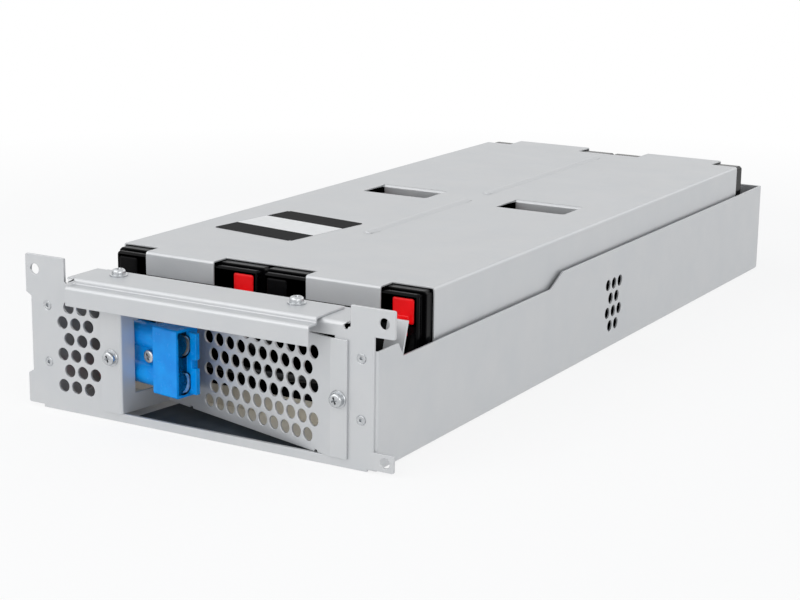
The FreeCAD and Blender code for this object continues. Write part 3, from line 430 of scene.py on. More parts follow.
def bar_form(bm, centre, length, radius, turn_about, sides):
    """Adds a solid round bar to a bmesh: along X when it is turned about Y, and along Y when about X."""
    made = bmesh.ops.create_cone(bm, cap_ends=True, segments=sides, radius1=radius, radius2=radius,
                                 depth=length)["verts"]
    bmesh.ops.rotate(bm, cent=(0, 0, 0), matrix=Matrix.Rotation(math.pi / 2, 3, turn_about), verts=made)
    bmesh.ops.translate(bm, vec=centre, verts=made)


def ringed_form(bm, low, high):
    """Closes two rings of corners into a solid."""
    low = [bm.verts.new(spot) for spot in low]
    high = [bm.verts.new(spot) for spot in high]
    made = [bm.faces.new(low), bm.faces.new(high)]
    for i in range(len(low)):
        j = (i + 1) % len(low)
        made.append(bm.faces.new((low[i], low[j], high[j], high[i])))
    bmesh.ops.recalc_face_normals(bm, faces=made)


def bowed_form(bm, reach, depth, height, half, bow, sheet=0.0):
    """Adds a bar along X to a bmesh that bows back in its middle: solid to its chord, or a bowed sheet."""
    steps = [(-math.cos(math.pi * i / 20), math.sin(math.pi * i / 20)) for i in range(21)]
    back = [(depth + bow * way + sheet, height + half * t) for t, way in steps]
    front = [(depth + (bow * way if sheet else 0.0), height + half * t) for t, way in reversed(steps)]
    if not sheet:
        front = [front[0], front[-1]]
        back = back[1:-1]
    ringed_form(bm, *[[(x, y, z) for y, z in back + front] for x in reach])


def flat_sheet(name, ring, height, thickness):
    """A thin sheet lying on a floor, cut to the given outline."""
    bm = bmesh.new()
    ringed_form(bm, *[[(x, y, z) for x, y in ring] for z in (height, height + thickness)])
    return finished(scratch(name, bmesh_mesh(name, bm)), 30.0)


# Geometry Nodes

# A field of places in columns and rows.
FIELD_INPUTS = (
    ("Columns", "NodeSocketInt", 3),
    ("Rows", "NodeSocketInt", 6),
    ("Start", "NodeSocketVector", None),
    ("Across", "NodeSocketVector", None),
    ("Up", "NodeSocketVector", None),
    ("Shift", "NodeSocketFloat", 0.0),
    ("Shift First", "NodeSocketInt", 0),
    ("Drop Last", "NodeSocketInt", 0),
    ("Turn", "NodeSocketVector", None),
    ("Material", "NodeSocketMaterial", None),
)
PUNCH_INPUTS = (
    ("Radius", "NodeSocketFloat", 0.0032),
    ("Depth", "NodeSocketFloat", 0.006),
    ("Sides", "NodeSocketInt", 32),
)

# How a field's places are worked out. A step is (result, kind, operation, sources), and a source is a number
# or the name of an input or of an earlier result.
FIELD_STEPS = (
    ("Count", "ShaderNodeMath", "MULTIPLY", ("Columns", "Rows")),
    ("Nudged", "ShaderNodeMath", "ADD", ("Index", 0.001)),
    ("Rows Passed", "ShaderNodeMath", "DIVIDE", ("Nudged", "Columns")),
    ("Row", "ShaderNodeMath", "FLOOR", ("Rows Passed",)),
    ("Row Start", "ShaderNodeMath", "MULTIPLY", ("Row", "Columns")),
    ("Column", "ShaderNodeMath", "SUBTRACT", ("Index", "Row Start")),
    ("Row Counted", "ShaderNodeMath", "ADD", ("Row", "Shift First")),
    ("Shifted", "ShaderNodeMath", "MODULO", ("Row Counted", 2.0)),
    ("Shifted By", "ShaderNodeMath", "MULTIPLY", ("Shifted", "Shift")),
    ("Steps Across", "ShaderNodeMath", "ADD", ("Column", "Shifted By")),
    ("Moved Across", "ShaderNodeVectorMath", "SCALE", ("Across", "Steps Across")),
    ("Moved Up", "ShaderNodeVectorMath", "SCALE", ("Up", "Row")),
    ("Moved", "ShaderNodeVectorMath", "ADD", ("Moved Across", "Moved Up")),
    ("Place", "ShaderNodeVectorMath", "ADD", ("Moved", "Start")),
    ("Last Column", "ShaderNodeMath", "SUBTRACT", ("Columns", 1.0)),
    ("Is Last", "ShaderNodeMath", "COMPARE", ("Column", "Last Column")),
    ("Is Shifted Last", "ShaderNodeMath", "MULTIPLY", ("Is Last", "Shifted")),
    ("Drop", "ShaderNodeMath", "MULTIPLY", ("Is Shifted Last", "Drop Last")),
    ("Is Dropped", "ShaderNodeMath", "GREATER_THAN", ("Drop", 0.5)),
)


def field_tree(name, given, result, own_inputs=()):
    """A new tree that places a field, with its named inputs and output, and the sockets of its inputs."""
    tree = bpy.data.node_groups.new(name, "GeometryNodeTree")
    for title, kind, value in ((given, "NodeSocketGeometry", None), *FIELD_INPUTS, *own_inputs):
        socket = tree.interface.new_socket(name=title, in_out="INPUT", socket_type=kind)
        if value is not None:
            socket.default_value = value
    tree.interface.new_socket(name=result, in_out="OUTPUT", socket_type="NodeSocketGeometry")
    return tree, add_node(tree, "NodeGroupInput").outputs


def placed_field(tree, entry, form):
    """A form at every place of a field, made real. Every second row can shift and lose its last place."""
    known = {title: entry[title] for title, kind, value in FIELD_INPUTS}
    known["Index"] = add_node(tree, "GeometryNodeInputIndex").outputs[0]
    for result, kind, operation, sources in FIELD_STEPS:
        settings = {"operation": operation}
        links = {}
        for index, source in zip((0, 3) if operation == "SCALE" else (0, 1), sources):
            if isinstance(source, str):
                links["in_%d" % index] = known[source]
            else:
                settings[index] = source
        known[result] = add_node(tree, kind, settings, **links).outputs[0]
    points = add_node(tree, "GeometryNodePoints", None, Count=known["Count"])
    put = add_node(tree, "GeometryNodeSetPosition", None, Geometry=points.outputs[0], Position=known["Place"])
    kept = add_node(tree, "GeometryNodeDeleteGeometry", {"domain": "POINT"}, Geometry=put.outputs[0],
                    Selection=known["Is Dropped"])
    turn = add_node(tree, "FunctionNodeEulerToRotation", None, Euler=entry["Turn"])
    placed = add_node(tree, "GeometryNodeInstanceOnPoints", None, Points=kept.outputs[0], Instance=form,
                      Rotation=turn.outputs[0])
    return add_node(tree, "GeometryNodeRealizeInstances", None, Geometry=placed.outputs[0]).outputs[0]


def punched_field_tree():
    """Punches a field of round holes through a sheet."""
    tree, entry = field_tree("Punched field", "Sheet", "Sheet", PUNCH_INPUTS)
    punch = add_node(tree, "GeometryNodeMeshCylinder", None, Vertices=entry["Sides"], Radius=entry["Radius"],
                     Depth=entry["Depth"])
    cut = add_node(tree, "GeometryNodeMeshBoolean", {"operation": "DIFFERENCE", "solver": "EXACT"},
                   Mesh_1=entry["Sheet"], Mesh_2=placed_field(tree, entry, punch.outputs["Mesh"]))
    even = add_node(tree, "GeometryNodeSetShadeSmooth", None, Geometry=cut.outputs["Mesh"])
    coat = add_node(tree, "GeometryNodeSetMaterial", None, Geometry=even.outputs[0],
                    Material=entry["Material"])
    add_node(tree, "NodeGroupOutput", None, in_0=coat.outputs[0])
    return tree


def fastener_field_tree():
    """Sets a fastener's form at every place of a field."""
    tree, entry = field_tree("Fastener field", "Form", "Fasteners")
    coat = add_node(tree, "GeometryNodeSetMaterial", None, Geometry=placed_field(tree, entry, entry["Form"]),
                    Material=entry["Material"])
    add_node(tree, "NodeGroupOutput", None, in_0=coat.outputs[0])
    return tree


def give(obj, tree, values):
    """Adds a Geometry Nodes modifier and sets its named inputs by their identifiers."""
    modifier = obj.modifiers.new(tree.name, "NODES")
    modifier.node_group = tree
    for item in tree.interface.items_tree:
        if item.item_type == "SOCKET" and item.in_out == "INPUT" and item.name in values:
            modifier[item.identifier] = values[item.name]


def field(shared, **values):
    """A field's inputs: the shared ones and its own, whose underscores stand for spaces."""
    inputs = {"Shift": 0.0, "Shift First": 0, "Drop Last": 0, "Turn": Vector((0, 0, 0)), **shared}
    inputs.update({name.replace("_", " "): value for name, value in values.items()})
    return inputs


# Settings


COLOUR = dict(subtype="COLOR", size=4, min=0.0, max=1.0)


class CartridgeSheetSettings(bpy.types.PropertyGroup):
    """Finish and perforations of the folded sheet"""
    sheet_light: FloatVectorProperty(name="Light zinc", description="Pale tone of the zinc coat",
                                     **COLOUR, default=srgb("CBCCCD"))
    sheet_dark: FloatVectorProperty(name="Dark zinc", description="Darker tone of the zinc coat",
                                    **COLOUR, default=srgb("C7C9CB"))
    sheared_edge: FloatProperty(name="Sheared edge", description="Rounding of the sheet's sheared edges",
                                subtype="DISTANCE", default=0.00025, min=0.00002, max=0.0006)
    hole_radius: FloatProperty(name="Perforation radius", description="Radius of each perforation",
                               subtype="DISTANCE", default=0.00322, min=0.001, max=0.0036)
    hole_pitch: FloatProperty(name="Perforation pitch", description="Distance between perforations",
                              subtype="DISTANCE", default=0.008, min=0.007, max=0.012)
    hole_sides: IntProperty(name="Perforation sides", description="Flats round each perforation",
                            default=32, min=12, max=64)


class CartridgeFastenerSettings(bpy.types.PropertyGroup):
    """Finish and sizes of the screws"""
    fastener_colour: FloatVectorProperty(name="Zinc plate", description="Colour of the screws and rivets",
                                         **COLOUR, default=srgb("D2D4D6"))
    head_radius: FloatProperty(name="Head radius", description="Radius of a pan head",
                               subtype="DISTANCE", default=0.0034, min=0.002, max=0.005)
    collar_radius: FloatProperty(name="Collar radius", description="Radius of a tab screw's collar",
                                 subtype="DISTANCE", default=0.0042, min=0.0036, max=0.005)
    collar_height: FloatProperty(name="Collar height", description="Height of a tab screw's collar",
                                 subtype="DISTANCE", default=0.0009, min=0.0004, max=0.0015)


class CartridgeBatterySettings(bpy.types.PropertyGroup):
    """Colours of the batteries and of their positive boots"""
    case_dark: FloatVectorProperty(name="Case", description="Darker tone of the battery cases",
                                   **COLOUR, default=srgb("030304"))
    case_light: FloatVectorProperty(name="Case bloom", description="Paler tone of the battery cases",
                                    **COLOUR, default=srgb("08080A"))
    positive: FloatVectorProperty(name="Positive boots", description="Colour of the positive boots",
                                  **COLOUR, default=srgb("FF0A14"))


class CartridgeConnectorSettings(bpy.types.PropertyGroup):
    """Colours of the connector"""
    shell_dark: FloatVectorProperty(name="Shell", description="Darker tone of the connector",
                                    **COLOUR, default=srgb("008EEA"))
    shell_light: FloatVectorProperty(name="Shell bloom", description="Paler tone of the connector",
                                     **COLOUR, default=srgb("009EF6"))


class CartridgeLabelSettings(bpy.types.PropertyGroup):
    """Size and place of the plain label"""
    label_width: FloatProperty(name="Width", description="Width of the plain label",
                               subtype="DISTANCE", default=0.054, min=0.02, max=0.06)
    label_length: FloatProperty(name="Length", description="Length of the plain label",
                                subtype="DISTANCE", default=0.0605, min=0.02, max=0.08)
    label_turn: FloatProperty(name="Turn", description="How far askew the label was stuck on",
                              subtype="ANGLE", default=math.radians(-8.0), min=math.radians(-15.0),
                              max=math.radians(15.0))
    label_band: FloatProperty(name="White band", description="Depth of the label's unprinted band",
                              subtype="DISTANCE", default=0.024, min=0.005, max=0.05)


class CartridgeStageSettings(bpy.types.PropertyGroup):
    """Floor and light of the stage"""
    floor_colour: FloatVectorProperty(name="Floor", description="Colour of the floor",
                                      **COLOUR, default=srgb("FFFFFF"))
    floor_white: FloatProperty(name="Plain floor", description="Plain white's share in the floor near by",
                               subtype="FACTOR", default=0.8, min=0.0, max=1.0)
    lamp_level: FloatProperty(name="Lamps", description="Level of the studio lamps",
                              default=1.0, min=0.1, max=4.0)
    world_level: FloatProperty(name="World", description="Level of the surrounding light",
                               default=0.6, min=0.0, max=2.0)


# Operators


class CARTRIDGE_OT_sheet_parts(bpy.types.Operator):
    """Dresses the folded sheet pieces: round perforations, sheared edges and a zinc coat"""
    bl_idname = "cartridge.sheet_parts"
    bl_label = "Folded sheet"

    def execute(self, context):
        settings = context.scene.cartridge_sheet
        zinc = galvanised_sheet(settings)
        tree = punched_field_tree()
        pitch = settings.hole_pitch
        punch = {"Radius": settings.hole_radius, "Sides": settings.hole_sides, "Depth": PUNCH_LENGTH,
                 "Up": Vector((0, 0, pitch)), "Shift": 0.5, "Material": zinc}
        front_field = field(punch, Columns=3, Rows=6, Turn=Vector((math.pi / 2, 0, 0)), Start=FRONT_FIELD,
                            Across=Vector((pitch, 0, 0)))
        grille = (RECESS_CORNER - RECESS_RIGHT).normalized()
        grille_field = field(punch, Columns=10, Rows=6, Shift_First=1, Across=grille * pitch,
                             Turn=Vector((math.pi / 2, 0, math.atan2(grille.y, grille.x))),
                             Start=RECESS_RIGHT + grille * GRILLE_INSET + Vector((0, 0, GRILLE_RISE)))
        middle_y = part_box("battery_2_left")[1][1] + HALF_MIDDLE_SPACE
        wall_y = middle_y - WALL_FIELD_BEFORE_MIDDLE - pitch
        wall_fields = [field(punch, Columns=3, Rows=4, Shift_First=1, Drop_Last=1,
                             Across=Vector((0, pitch, 0)), Turn=Vector((0, math.pi / 2, 0)),
                             Start=Vector((side * WALL_FIELD_X, wall_y, WALL_FIELD_RISE)))
                       for side in (-1, 1)]
        fields = {"front_frame": [front_field], "recess_cover": [grille_field], "tray": wall_fields,
                  "handle_plate": [], "battery_cover": []}
        for node, punches in fields.items():
            obj = scratch(node + " sheet", merged_copy(node))
            for values in punches:
                give(obj, tree, values)
            soften(obj, settings.sheared_edge)
            add_piece("sheet_" + node, settled(finished(obj), node), zinc, "galvanised_sheet", node)
        return {"FINISHED"}


# Sections as (radius, height) pairs. A rivet's heights run back from the frame's face, through its hollow,
# face, groove ring, countersink, shank and tail.
WASHER_SECTION = ((0.0021, 0.0), (0.0044, 0.0), (0.0045, 0.0001), (0.0045, 0.0007), (0.0044, 0.0008),
                  (0.0021, 0.0008), (0.0021, 0.0))
RIVET_SECTION = ((0, 0.0013), (0.0007, 0.0012), (0.0009, 0.0001), (0.0011, 0), (0.0021, 0.00001),
                 (0.00225, 0.0001), (0.00235, 0.00042), (0.00255, 0.00028), (0.0014, 0.00092),
                 (0.0014, 0.0027), (0.0017, 0.0027), (0.0017, 0.0036), (0, 0.0036))
RIVET_INSET = 0.0031

# The connector's screw, placed in the connector's frame.
BOLT_PLACE = Vector((0.0066, 0.004, 0.0))
BOLT_HEAD = 0.0023
BOLT_LENGTH = 0.0149


class CARTRIDGE_OT_fasteners(bpy.types.Operator):
    """Makes the pan-head screws, washers and flush rivets"""
    bl_idname = "cartridge.fasteners"
    bl_label = "Fasteners"

    def execute(self, context):
        settings = context.scene.cartridge_fasteners
        zinc = zinc_plate(settings)
        tree = fastener_field_tree()
        radius = settings.head_radius
        collar_radius = settings.collar_radius
        tabs_low, tabs_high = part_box("recess_screws")
        tops_low, tops_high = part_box("handle_screws")
        washers_low, washers_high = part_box("handle_washers")
        rivets_low, rivets_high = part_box("frame_rivets")
        tab_y = FRONT_Y - STEEL
        tab_z = (tabs_low[2] + tabs_high[2]) / 2
        tab_screw = pan_head(radius, tab_y - tabs_low[1], tabs_high[1] - tab_y, collar_radius,
                             settings.collar_height)
        top_y = (tops_low[1] + tops_high[1]) / 2
        top_z = washers_high[2]
        top_screw = pan_head(radius, tops_high[2] - top_z, top_z - tops_low[2])
        top_apart = tops_high[0] - tops_low[0] - 2 * radius
        section = turned(WASHER_SECTION)
        bmesh.ops.remove_doubles(section, verts=section.verts, dist=1e-7)
        bmesh.ops.recalc_face_normals(section, faces=section.faces)
        washer = bmesh_mesh("washer", section)
        rivet = bmesh_mesh("flush rivet", turned(RIVET_SECTION))
        # Each row is a node, its form, its first place, its distances across and up, and its turn about X.
        rows = (
            ("recess_screws", tab_screw, (tabs_low[0] + collar_radius, tab_y, tab_z),
             tabs_high[0] - tabs_low[0] - 2 * collar_radius, 0.0, math.pi / 2),
            ("handle_screws", top_screw, (tops_low[0] + radius, top_y, top_z), top_apart, 0.0, 0.0),
            ("handle_washers", washer, (tops_low[0] + radius, top_y, washers_low[2]), top_apart, 0.0, 0.0),
            ("frame_rivets", rivet, (rivets_low[0] + RIVET_INSET, FRONT_Y, rivets_low[2] + RIVET_INSET),
             rivets_high[0] - rivets_low[0] - 2 * RIVET_INSET,
             rivets_high[2] - rivets_low[2] - 2 * RIVET_INSET, -math.pi / 2),
        )
        for node, form, start, apart, rise, turn in rows:
            obj = scratch(node, form)
            give(obj, tree, field({"Material": zinc}, Columns=2, Rows=2 if rise else 1, Start=Vector(start),
                                  Across=Vector((apart, 0, 0)), Up=Vector((0, 0, rise)),
                                  Turn=Vector((turn, 0, 0))))
            add_piece("set_" + node, finished(obj, 30.0), zinc, "zinc_plated_steel", node)

        bolt = pan_head(radius, BOLT_HEAD, BOLT_LENGTH)
        bolt.transform(CONNECTOR_FRAME @ Matrix.Translation(BOLT_PLACE)
                       @ Matrix.Rotation(math.pi / 2, 4, "X"))
        add_piece("set_connector_screw", bolt, zinc, "zinc_plated_steel", "connector_screw")
        return {"FINISHED"}


class CARTRIDGE_OT_batteries(bpy.types.Operator):
    """Dresses the sealed batteries, their terminals and boots, and the sheet that they stand on"""
    bl_idname = "cartridge.batteries"
    bl_label = "Batteries"

    def execute(self, context):
        settings = context.scene.cartridge_batteries
        # ABS from a polished tool looks wet black, with tight highlights on its edges.
        case = moulded_plastic("gloss ABS battery case", settings.case_dark, settings.case_light,
                               (0.12, 0.22), 0.5, 0.005, 0.07)
        # Soft PVC has a satin face, so the boots show a full colour and broad, dim highlights.
        red = moulded_plastic("soft PVC boot, positive", srgb("F0060E"), settings.positive,
                              (0.30, 0.42), 0.6, 0.01, 0.3)
        black = moulded_plastic("soft PVC boot, negative", srgb("050506"), srgb("0A0A0B"),
                                (0.30, 0.42), 0.6, 0.01, 0.08)
        fibre = fish_paper()
        for row in range(1, 5):
            for side in ("left", "right"):
                node = "battery_%d_%s" % (row, side)
                obj = soften(scratch(node, merged_copy(node)), 0.0005, 2)
                add_piece("case_" + node, finished(obj), case, "black_abs", node)
        for node, material, record_slot, rounding in (("red_boots", red, "red_vinyl", 0.0007),
                                                      ("black_boots", black, "black_vinyl", 0.0007),
                                                      ("battery_terminals", tinned_brass(), "tinned_brass",
                                                       0.00012),
                                                      ("base_pad", fibre, "insulating_sheet", 0.0002)):
            obj = soften(scratch(node, merged_copy(node)), rounding, 3)
            add_piece("dressed_" + node, finished(obj), material, record_slot, node)

        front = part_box("battery_1_left")[0][1]
        left, right, edge_rise = -0.078, 0.091, 0.0105
        edge = bmesh.new()
        box_form(edge, (left, front - 0.0007, FLOOR_TOP + 0.0001),
                 (right, front - 0.0003, FLOOR_TOP + edge_rise))
        mesh = finished(soften(scratch("turned-up edge", bmesh_mesh("turned-up edge", edge)), 0.00008, 2))
        add_piece("turned_up_base_pad", mesh, fibre, "insulating_sheet")
        skirt_left, skirt_back, skirt_front = -0.036, front - 0.001, front - 0.004
        slope = (RECESS_CORNER.y - RECESS_RIGHT.y) / (RECESS_CORNER.x - RECESS_RIGHT.x)
        ring = [(right, skirt_back), (skirt_left, skirt_back), (skirt_left, skirt_front),
                (right, skirt_front + slope * (right - skirt_left))]
        add_piece("skirt_base_pad", flat_sheet("skirt", ring, FLOOR_TOP + LIFT, 0.0003), fibre,
                  "insulating_sheet")
        return {"FINISHED"}


# The connector's forms in its own frame, each as two corners. POLE is each pole's distance from its middle.
POLE = 0.0092
HOOD = ((0.012, 0, -0.017), (0.0283, 0.0144, 0.017))
KEY = ((0.0153, 0.0015, -0.0025), (0.0281, 0.0042, 0.0025))
ADDED_BOXES = {
    "foot": ((0.0, 0.0072, -POLE), (0.013, 0.0143, POLE)),
    "web": ((-0.0104, 0.0040, -POLE), (0.013, 0.0104, POLE)),
    "tongue": ((0.0280, 0.0072, -0.0152), (0.0343, 0.0098, 0.0152)),
}
CUT_BOXES = {
    "mouth": ((0.0223, 0.0016, -0.0152), (0.0293, 0.0072, 0.0152)),
    "notch": ((0.0311, -0.001, -0.0022), (0.0353, 0.016, 0.0022)),
}

# The screw's hole is (Y, length, radius, sides). What both poles have follows: a bar is (X ends, Y, radius,
# sides), and a bow (X ends, Y, half height, bow, sheet).
BOLT_HOLE = (0.0072, 0.018, 0.0021, 24)
BARREL = ((-0.0104, 0.013), 0.0072, 0.0064, 48)
WIRE_HOLE = ((-0.0115, -0.0015), 0.0072, 0.0024, 24)
POCKET = ((0.0153, 0.0304), 0.0024, 0.0060, 0.0062, 0.0)
BLADE = ((0.0155, 0.0298), 0.0036, 0.0047, 0.0034, 0.0008)
# The spring lining each pocket is a real part, but its near-black colour is painted shade for the pocket.
SHADED_SPRING = ((0.0155, 0.0301), 0.0026, 0.0058, 0.0055, 0.0004)


class CARTRIDGE_OT_connector(bpy.types.Operator):
    """Dresses the two-pole connector and its contacts"""
    bl_idname = "cartridge.connector"
    bl_label = "Connector"

    def execute(self, context):
        settings = context.scene.cartridge_connector
        # Polycarbonate comes out of its tool even and bright, with a low gloss over its grain.
        shell = moulded_plastic("polycarbonate connector shell", settings.shell_dark, settings.shell_light,
                                (0.20, 0.30), 0.5, 0.01, 0.25)
        body = bmesh.new()
        box_form(body, *HOOD)
        along = [edge for edge in body.edges if abs(edge.verts[0].co.x - edge.verts[1].co.x) > 0.01]
        bmesh.ops.bevel(body, geom=along, offset=0.0012, segments=4, profile=0.5, affect="EDGES")
        added = bmesh.new()
        for corners in ADDED_BOXES.values():
            box_form(added, *corners)
        cuts = bmesh.new()
        for corners in CUT_BOXES.values():
            box_form(cuts, *corners)
        depth, length, radius, sides = BOLT_HOLE
        bar_form(cuts, (BOLT_PLACE.x, depth, 0), length, radius, "X", sides)
        for side in (-1, 1):
            middle = side * POLE
            for bm, ((start, end), depth, radius, sides) in ((added, BARREL), (cuts, WIRE_HOLE)):
                bar_form(bm, ((start + end) / 2, depth, middle), end - start, radius, "Y", sides)
            bowed_form(cuts, POCKET[0], POCKET[1], middle, *POCKET[2:])
        obj = scratch("connector shell", bmesh_mesh("connector shell", body))
        tools = [scratch("added", bmesh_mesh("added", added)), scratch("cuts", bmesh_mesh("cuts", cuts))]
        for tool, way in zip(tools, ("UNION", "DIFFERENCE")):
            cut_or_join(obj, tool, way)
        shell_mesh = finished(soften(obj, 0.0003, 3))
        for tool in tools:
            bpy.data.objects.remove(tool)
        key = bmesh.new()
        box_form(key, *KEY)
        key_mesh = finished(soften(scratch("key", bmesh_mesh("key", key)), 0.0003, 2))
        leaves = {}
        for name, (reach, depth, half, bow, sheet), sharp in (("blades", BLADE, 40.0),
                                                              ("springs", SHADED_SPRING, 30.0)):
            bm = bmesh.new()
            for side in (-1, 1):
                bowed_form(bm, reach, depth, side * POLE, half, bow, sheet)
            leaves[name] = finished(scratch(name, bmesh_mesh(name, bm)), sharp)
        for mesh in (shell_mesh, key_mesh, *leaves.values()):
            mesh.transform(CONNECTOR_FRAME)
        add_piece("shell_connector", shell_mesh, shell, "blue_polycarbonate", "connector_housing")
        add_piece("key_connector", key_mesh, shell, "blue_polycarbonate", "connector_housing")
        add_piece("blades_connector", leaves["blades"], silver_plate(), "silver_plated_copper",
                  "connector_contacts")
        # The springs' near-black colour is painted shade in the pockets behind the blades.
        add_piece("springs_connector", leaves["springs"], painted_shade_spring(), "zinc_plated_steel",
                  "connector_contacts")
        return {"FINISHED"}


# The corners of each lead's and link's way, in metres. The smooth curve through them cuts its corners, by
# about 1 to 2 mm on the jumpers and by up to 22 mm where the corners lie far apart.
LEADS = {
    "black_lead": [(-0.04525, -0.2297, 0.0415), (-0.05848, -0.22755, 0.0415), (-0.0785, -0.20158, 0.0361),
                   (-0.0785, -0.20158, 0.0521)],
    "red_lead": [(-0.04525, -0.2297, 0.0231), (-0.05848, -0.22755, 0.0231), (-0.08005, -0.22148, 0.012),
                 (-0.09205, -0.19848, 0.009), (-0.09205, 0.23822, 0.009), (-0.0825, 0.23822, 0.029),
                 (-0.0785, 0.23522, 0.0381), (-0.0785, 0.23522, 0.0521)],
    "front_link": [(0.0825, -0.20158, 0.0521), (0.0825, -0.20158, 0.022), (-0.09205, -0.20158, 0.022),
                   (-0.09205, 0.00492, 0.022), (-0.0077, 0.00492, 0.022), (-0.0077, 0.00492, 0.0521)],
    "rear_link": [(0.0117, 0.00492, 0.0521), (0.0117, 0.00492, 0.022), (0.0027, 0.02872, 0.022),
                  (-0.09205, 0.02872, 0.022), (-0.09205, 0.24822, 0.022), (0.0825, 0.24822, 0.022),
                  (0.0825, 0.23522, 0.0381), (0.0825, 0.23522, 0.0521)],
}

# A jumper is (X and Y of its first boot, X and Y of its second), and dips between its boots.
JUMPERS = {
    "front_jumper": ((-0.0077, -0.20158), (0.0117, -0.20158)),
    "middle_jumper_left": ((-0.0785, 0.00492), (-0.0785, 0.02872)),
    "middle_jumper_centre": ((-0.0077, 0.02872), (0.0117, 0.02872)),
    "middle_jumper_right": ((0.0825, 0.02872), (0.0825, 0.00492)),
    "rear_jumper": ((0.0117, 0.23522), (-0.0077, 0.23522)),
}
JUMPER_TOP = 0.0521
JUMPER_DIP = 0.0361
for jumper, (first, second) in JUMPERS.items():
    LEADS[jumper] = [(*first, JUMPER_TOP), (*first, JUMPER_DIP),
                     (*second, JUMPER_DIP), (*second, JUMPER_TOP)]


class CARTRIDGE_OT_leads(bpy.types.Operator):
    """Makes the leads and links as smooth round curves over the corners of their ways"""
    bl_idname = "cartridge.leads"
    bl_label = "Leads"

    def execute(self, context):
        # An extruded PVC jacket is satin, with a slightly uneven face.
        red = moulded_plastic("PVC lead jacket, positive", srgb("A90F16"), srgb("C8161D"), (0.32, 0.45),
                              0.8, 0.02)
        black = moulded_plastic("PVC lead jacket, negative", srgb("0E0F11"), srgb("1A1B1E"), (0.32, 0.45),
                                0.8, 0.02)
        for node, route in LEADS.items():
            curve = bpy.data.curves.new(node, "CURVE")
            curve.dimensions = "3D"
            curve.bevel_depth = LEAD_RADIUS
            curve.bevel_resolution = 4
            curve.use_fill_caps = True
            spline = curve.splines.new("NURBS")
            spline.points.add(len(route) - 1)
            for spot, at in zip(spline.points, route):
                spot.co = (*at, 1.0)
            spline.order_u = 3
            spline.use_endpoint_u = True
            spline.resolution_u = 12
            mesh = finished(scratch(node, curve), 50.0)
            if node == "red_lead":
                add_piece("lead_" + node, mesh, red, "red_vinyl", node)
            else:
                add_piece("lead_" + node, mesh, black, "black_vinyl", node)
        return {"FINISHED"}


class CARTRIDGE_OT_painted_shade_film(bpy.types.Operator):
    """Lays a dark film on the recess's floor, under the connector, as painted shade"""
    bl_idname = "cartridge.film"
    bl_label = "Recess shade film"

    def execute(self, context):
        front, right_depth, thickness = FRONT_Y + 0.0032, 0.008, 0.00025
        left, right = RECESS_LEFT.x + 0.0014, RECESS_RIGHT.x - 0.003
        ring = [(left, front), (right, front), (right, front + right_depth),
                (RECESS_CORNER.x + 0.002, RECESS_CORNER.y + 0.011)]
        # The dark film is painted shade: it stands in for the shadow on the recess's floor under the handle
        # plate and the connector.
        film = flat_sheet("film", ring, FLOOR_TOP + LIFT, thickness)
        add_piece("painted_shade_film_recess", film, painted_shade_film(), "insulating_sheet")
        return {"FINISHED"}


class CARTRIDGE_OT_label(bpy.types.Operator):
    """Sticks a plain printed label on the cover"""
    bl_idname = "cartridge.label"
    bl_label = "Plain label"

    def execute(self, context):
        settings = context.scene.cartridge_label
        half_x = settings.label_width / 2
        half_y = settings.label_length / 2
        thickness, corner_radius = 0.00012, 0.0012
        on_cover = LABEL_CENTRE + Vector((0, 0, COVER_TOP + LIFT))
        bm = bmesh.new()
        box_form(bm, (-half_x, -half_y, 0), (half_x, half_y, thickness))
        corners = [edge for edge in bm.edges if abs(edge.verts[0].co.z - edge.verts[1].co.z) > 1e-5]
        bmesh.ops.bevel(bm, geom=corners, offset=corner_radius, segments=4, affect="EDGES")
        mesh = bmesh_mesh("label", bm, False)
        mesh.transform(Matrix.Translation(on_cover) @ Matrix.Rotation(settings.label_turn, 4, "Z"))
        add_piece("plain_label", mesh, coated_label(settings), "insulating_sheet")
        return {"FINISHED"}


# Each lamp is a name, a place, what it aims at, its two sides in metres and its power in watts.
LAMPS = (
    ("key softbox", (-0.85, -0.5, 1.38), (0, -0.1, 0.03), (1.3, 1.2), 3.2),
    ("front softbox", (-0.5, -1.5, 0.85), (0, -0.2, 0.03), (1.9, 1.3), 8.8),
    ("side softbox", (1.5, -1.15, 0.5), (0, -0.1, 0.03), (1.6, 0.9), 6.0),
    ("rear softbox", (0.8, 1.4, 0.85), (0, 0.1, 0.03), (1.6, 1.0), 3.2),
)

# The camera looks at its target from these angles round and above the front, from this far, with this roll.
CAMERA_TARGET = Vector((0.04952, FRONT_Y + 0.10105, 0.05357))
CAMERA_ROUND = math.radians(29.914)
CAMERA_ABOVE = math.radians(13.745)
CAMERA_ROLL = math.radians(0.787)
CAMERA_FAR = 0.9387
CAMERA_LENS = 84.49


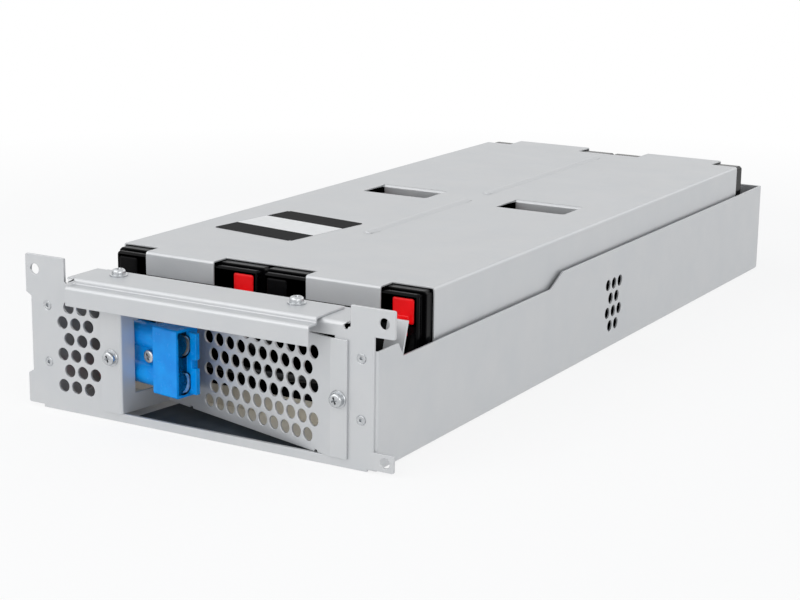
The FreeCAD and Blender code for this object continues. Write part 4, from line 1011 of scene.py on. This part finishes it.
class CARTRIDGE_OT_stage(bpy.types.Operator):
    """Sets the floor, the lamps, the surrounding light and the camera"""
    bl_idname = "cartridge.stage"
    bl_label = "Stage"

    def execute(self, context):
        settings = context.scene.cartridge_stage
        scene = context.scene
        scene.view_settings.view_transform = "Standard"

        bm = bmesh.new()
        bmesh.ops.create_grid(bm, x_segments=1, y_segments=1, size=6.0)
        mesh = bmesh_mesh("floor", bm, False)
        floor = bpy.data.objects.new("floor", mesh)
        floor.location = (0, 0, -0.0002)
        scene.collection.objects.link(floor)
        mesh.materials.append(studio_paper(settings))

        for name, place, aim, size, power in LAMPS:
            light = bpy.data.lights.new(name, "AREA")
            light.shape = "RECTANGLE"
            light.size, light.size_y = size
            light.energy = power * settings.lamp_level
            obj = bpy.data.objects.new(name, light)
            obj.location = place
            obj.rotation_euler = (Vector(aim) - Vector(place)).to_track_quat("-Z", "Y").to_euler()
            scene.collection.objects.link(obj)

        world = bpy.data.worlds.new("studio")
        scene.world = world
        world.use_nodes = True
        tree = world.node_tree
        tree.nodes.clear()
        light = {"Color": srgb("EEF1F5"), "Strength": settings.world_level}
        plain = add_node(tree, "ShaderNodeBackground", light)
        white = add_node(tree, "ShaderNodeBackground", {"Color": srgb("FFFFFF"), "Strength": 1.0})
        mix = add_node(tree, "ShaderNodeMixShader", None, in_0=seen_or_mirrored(tree), in_1=plain.outputs[0],
                       in_2=white.outputs[0])
        add_node(tree, "ShaderNodeOutputWorld", None, Surface=mix.outputs[0])

        camera = bpy.data.cameras.new("camera")
        camera.lens = CAMERA_LENS
        camera.sensor_width = 36.0
        camera.clip_start = 0.01
        obj = bpy.data.objects.new("camera", camera)
        flat = math.cos(CAMERA_ABOVE)
        way = Vector((math.sin(CAMERA_ROUND) * flat, -math.cos(CAMERA_ROUND) * flat, math.sin(CAMERA_ABOVE)))
        look = (-way).to_track_quat("-Z", "Y").to_matrix().to_4x4()
        obj.matrix_world = (Matrix.Translation(CAMERA_TARGET + way * CAMERA_FAR) @ look
                            @ Matrix.Rotation(CAMERA_ROLL, 4, "Z"))
        scene.collection.objects.link(obj)
        scene.camera = obj
        return {"FINISHED"}


class CARTRIDGE_PT_parts(bpy.types.Panel):
    """Lists the cartridge's pieces and their settings"""
    bl_idname = "CARTRIDGE_PT_parts"
    bl_label = "Battery cartridge"
    bl_space_type = "VIEW_3D"
    bl_region_type = "UI"
    bl_category = "Cartridge"

    def draw(self, context):
        for operator in OPERATORS:
            self.layout.operator(operator.bl_idname)
        for name in SETTINGS:
            group = getattr(context.scene, name)
            box = self.layout.box()
            for key in group.bl_rna.properties.keys():
                if key not in {"rna_type", "name"}:
                    box.prop(group, key)


SETTINGS = {
    "cartridge_sheet": CartridgeSheetSettings,
    "cartridge_fasteners": CartridgeFastenerSettings,
    "cartridge_batteries": CartridgeBatterySettings,
    "cartridge_connector": CartridgeConnectorSettings,
    "cartridge_label": CartridgeLabelSettings,
    "cartridge_stage": CartridgeStageSettings,
}
OPERATORS = (
    CARTRIDGE_OT_stage,
    CARTRIDGE_OT_sheet_parts,
    CARTRIDGE_OT_fasteners,
    CARTRIDGE_OT_batteries,
    CARTRIDGE_OT_connector,
    CARTRIDGE_OT_leads,
    CARTRIDGE_OT_painted_shade_film,
    CARTRIDGE_OT_label,
)


def register():
    for cls in (*SETTINGS.values(), *OPERATORS, CARTRIDGE_PT_parts):
        bpy.utils.register_class(cls)
    for name, cls in SETTINGS.items():
        setattr(bpy.types.Scene, name, PointerProperty(type=cls))


def unregister():
    for name in SETTINGS:
        delattr(bpy.types.Scene, name)
    for cls in (CARTRIDGE_PT_parts, *reversed(OPERATORS), *reversed(list(SETTINGS.values()))):
        bpy.utils.unregister_class(cls)


def main():
    register()
    bpy.ops.cartridge.stage()
    bpy.ops.cartridge.sheet_parts()
    bpy.ops.cartridge.fasteners()
    bpy.ops.cartridge.batteries()
    bpy.ops.cartridge.connector()
    bpy.ops.cartridge.leads()
    bpy.ops.cartridge.film()
    bpy.ops.cartridge.label()


if __name__ == "__main__":
    main()
